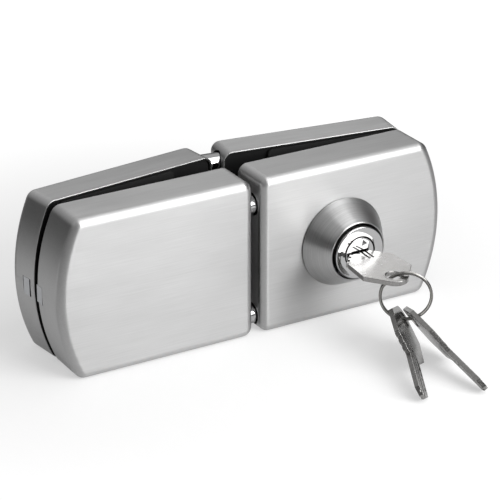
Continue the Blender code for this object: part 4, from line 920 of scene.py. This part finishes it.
def makeFloor(settings):
    # Matt white board: keeps a soft shadow, and brightens to plain white away from the lock
    material, tree = emptyMaterial("whiteBoard")
    place = addNode(tree, "ShaderNodeTexCoord")
    away = addNode(tree, "ShaderNodeVectorMath", {"operation": "LENGTH"}, {0: place.outputs["Object"]})
    glow, gloss = (addNode(tree, "ShaderNodeMapRange",
                           {"interpolation_type": "SMOOTHSTEP", "From Min": settings[f"{kind}From"] * mm,
                            "From Max": settings[f"{kind}To"] * mm, "To Min": settings[f"near{kind.title()}"],
                            "To Max": settings[f"far{kind.title()}"]}, {"Value": away.outputs["Value"]})
                   for kind in ("glow", "gloss"))
    matt = addNode(tree, "ShaderNodeBsdfDiffuse", {"Color": linearColour(settings["floorColour"])})
    light = addNode(tree, "ShaderNodeEmission", {"Color": (1, 1, 1, 1)},
                    {"Strength": backdropSeen(tree, glow.outputs[0], gloss.outputs[0])})
    both = addNode(tree, "ShaderNodeAddShader", None, {0: matt.outputs["BSDF"], 1: light.outputs["Emission"]})
    addNode(tree, "ShaderNodeOutputMaterial", None, {"Surface": both.outputs["Shader"]})
    steps = settings["floorSteps"]
    outline = arcPoints((0, 0), settings["floorRadius"], 0, 360 - 360 / steps, steps - 1)
    bm = bmesh.new()
    bm.faces.new([bm.verts.new((x * mm, y * mm, settings["floorLevel"] * mm)) for x, y in outline])
    floor = newPiece("floor", meshFrom(bm, "floor"), [material])


def makeWorld(settings):
    # A soft ceiling over dim walls, which the eye sees as plain white
    world = bpy.data.worlds.new("studio")
    scene.world = world
    world.use_nodes = True
    tree = world.node_tree
    tree.nodes.clear()
    place = addNode(tree, "ShaderNodeTexCoord")
    parts = addNode(tree, "ShaderNodeSeparateXYZ", None, {"Vector": place.outputs["Generated"]})
    room = addNode(tree, "ShaderNodeMapRange",
                   {"interpolation_type": "SMOOTHSTEP", "From Min": settings["horizonEnd"],
                    "From Max": settings["zenithStart"], "To Min": settings["horizon"],
                    "To Max": settings["zenith"]}, {"Value": parts.outputs["Z"]})
    seen = backdropSeen(tree, settings["wallGlow"], settings["wallGloss"])
    strength = addNode(tree, "ShaderNodeMath", {"operation": "ADD"}, {0: room.outputs[0], 1: seen})
    light = addNode(tree, "ShaderNodeBackground", {"Color": (1, 1, 1, 1)}, {"Strength": strength.outputs[0]})
    addNode(tree, "ShaderNodeOutputWorld", None, {"Surface": light.outputs["Background"]})


def makeLamps(rows):
    for name, row in rows.items():
        data = bpy.data.lights.new(name, "AREA")
        data.shape = "RECTANGLE"
        data.size = row["size"][0] * mm
        data.size_y = row["size"][1] * mm
        data.energy = row["power"]
        lamp = bpy.data.objects.new(name, data)
        scene.collection.objects.link(lamp)
        lamp.location = Vector(row["place"]) * mm
        toward = (Vector(row["aim"]) - Vector(row["place"])).normalized()
        lamp.rotation_euler = toward.to_track_quat("-Z", "Y").to_euler()


makeFloor(studio)
makeWorld(studio)
makeLamps(lamps)
scene.view_settings.view_transform = "Standard"
print("studio lit")
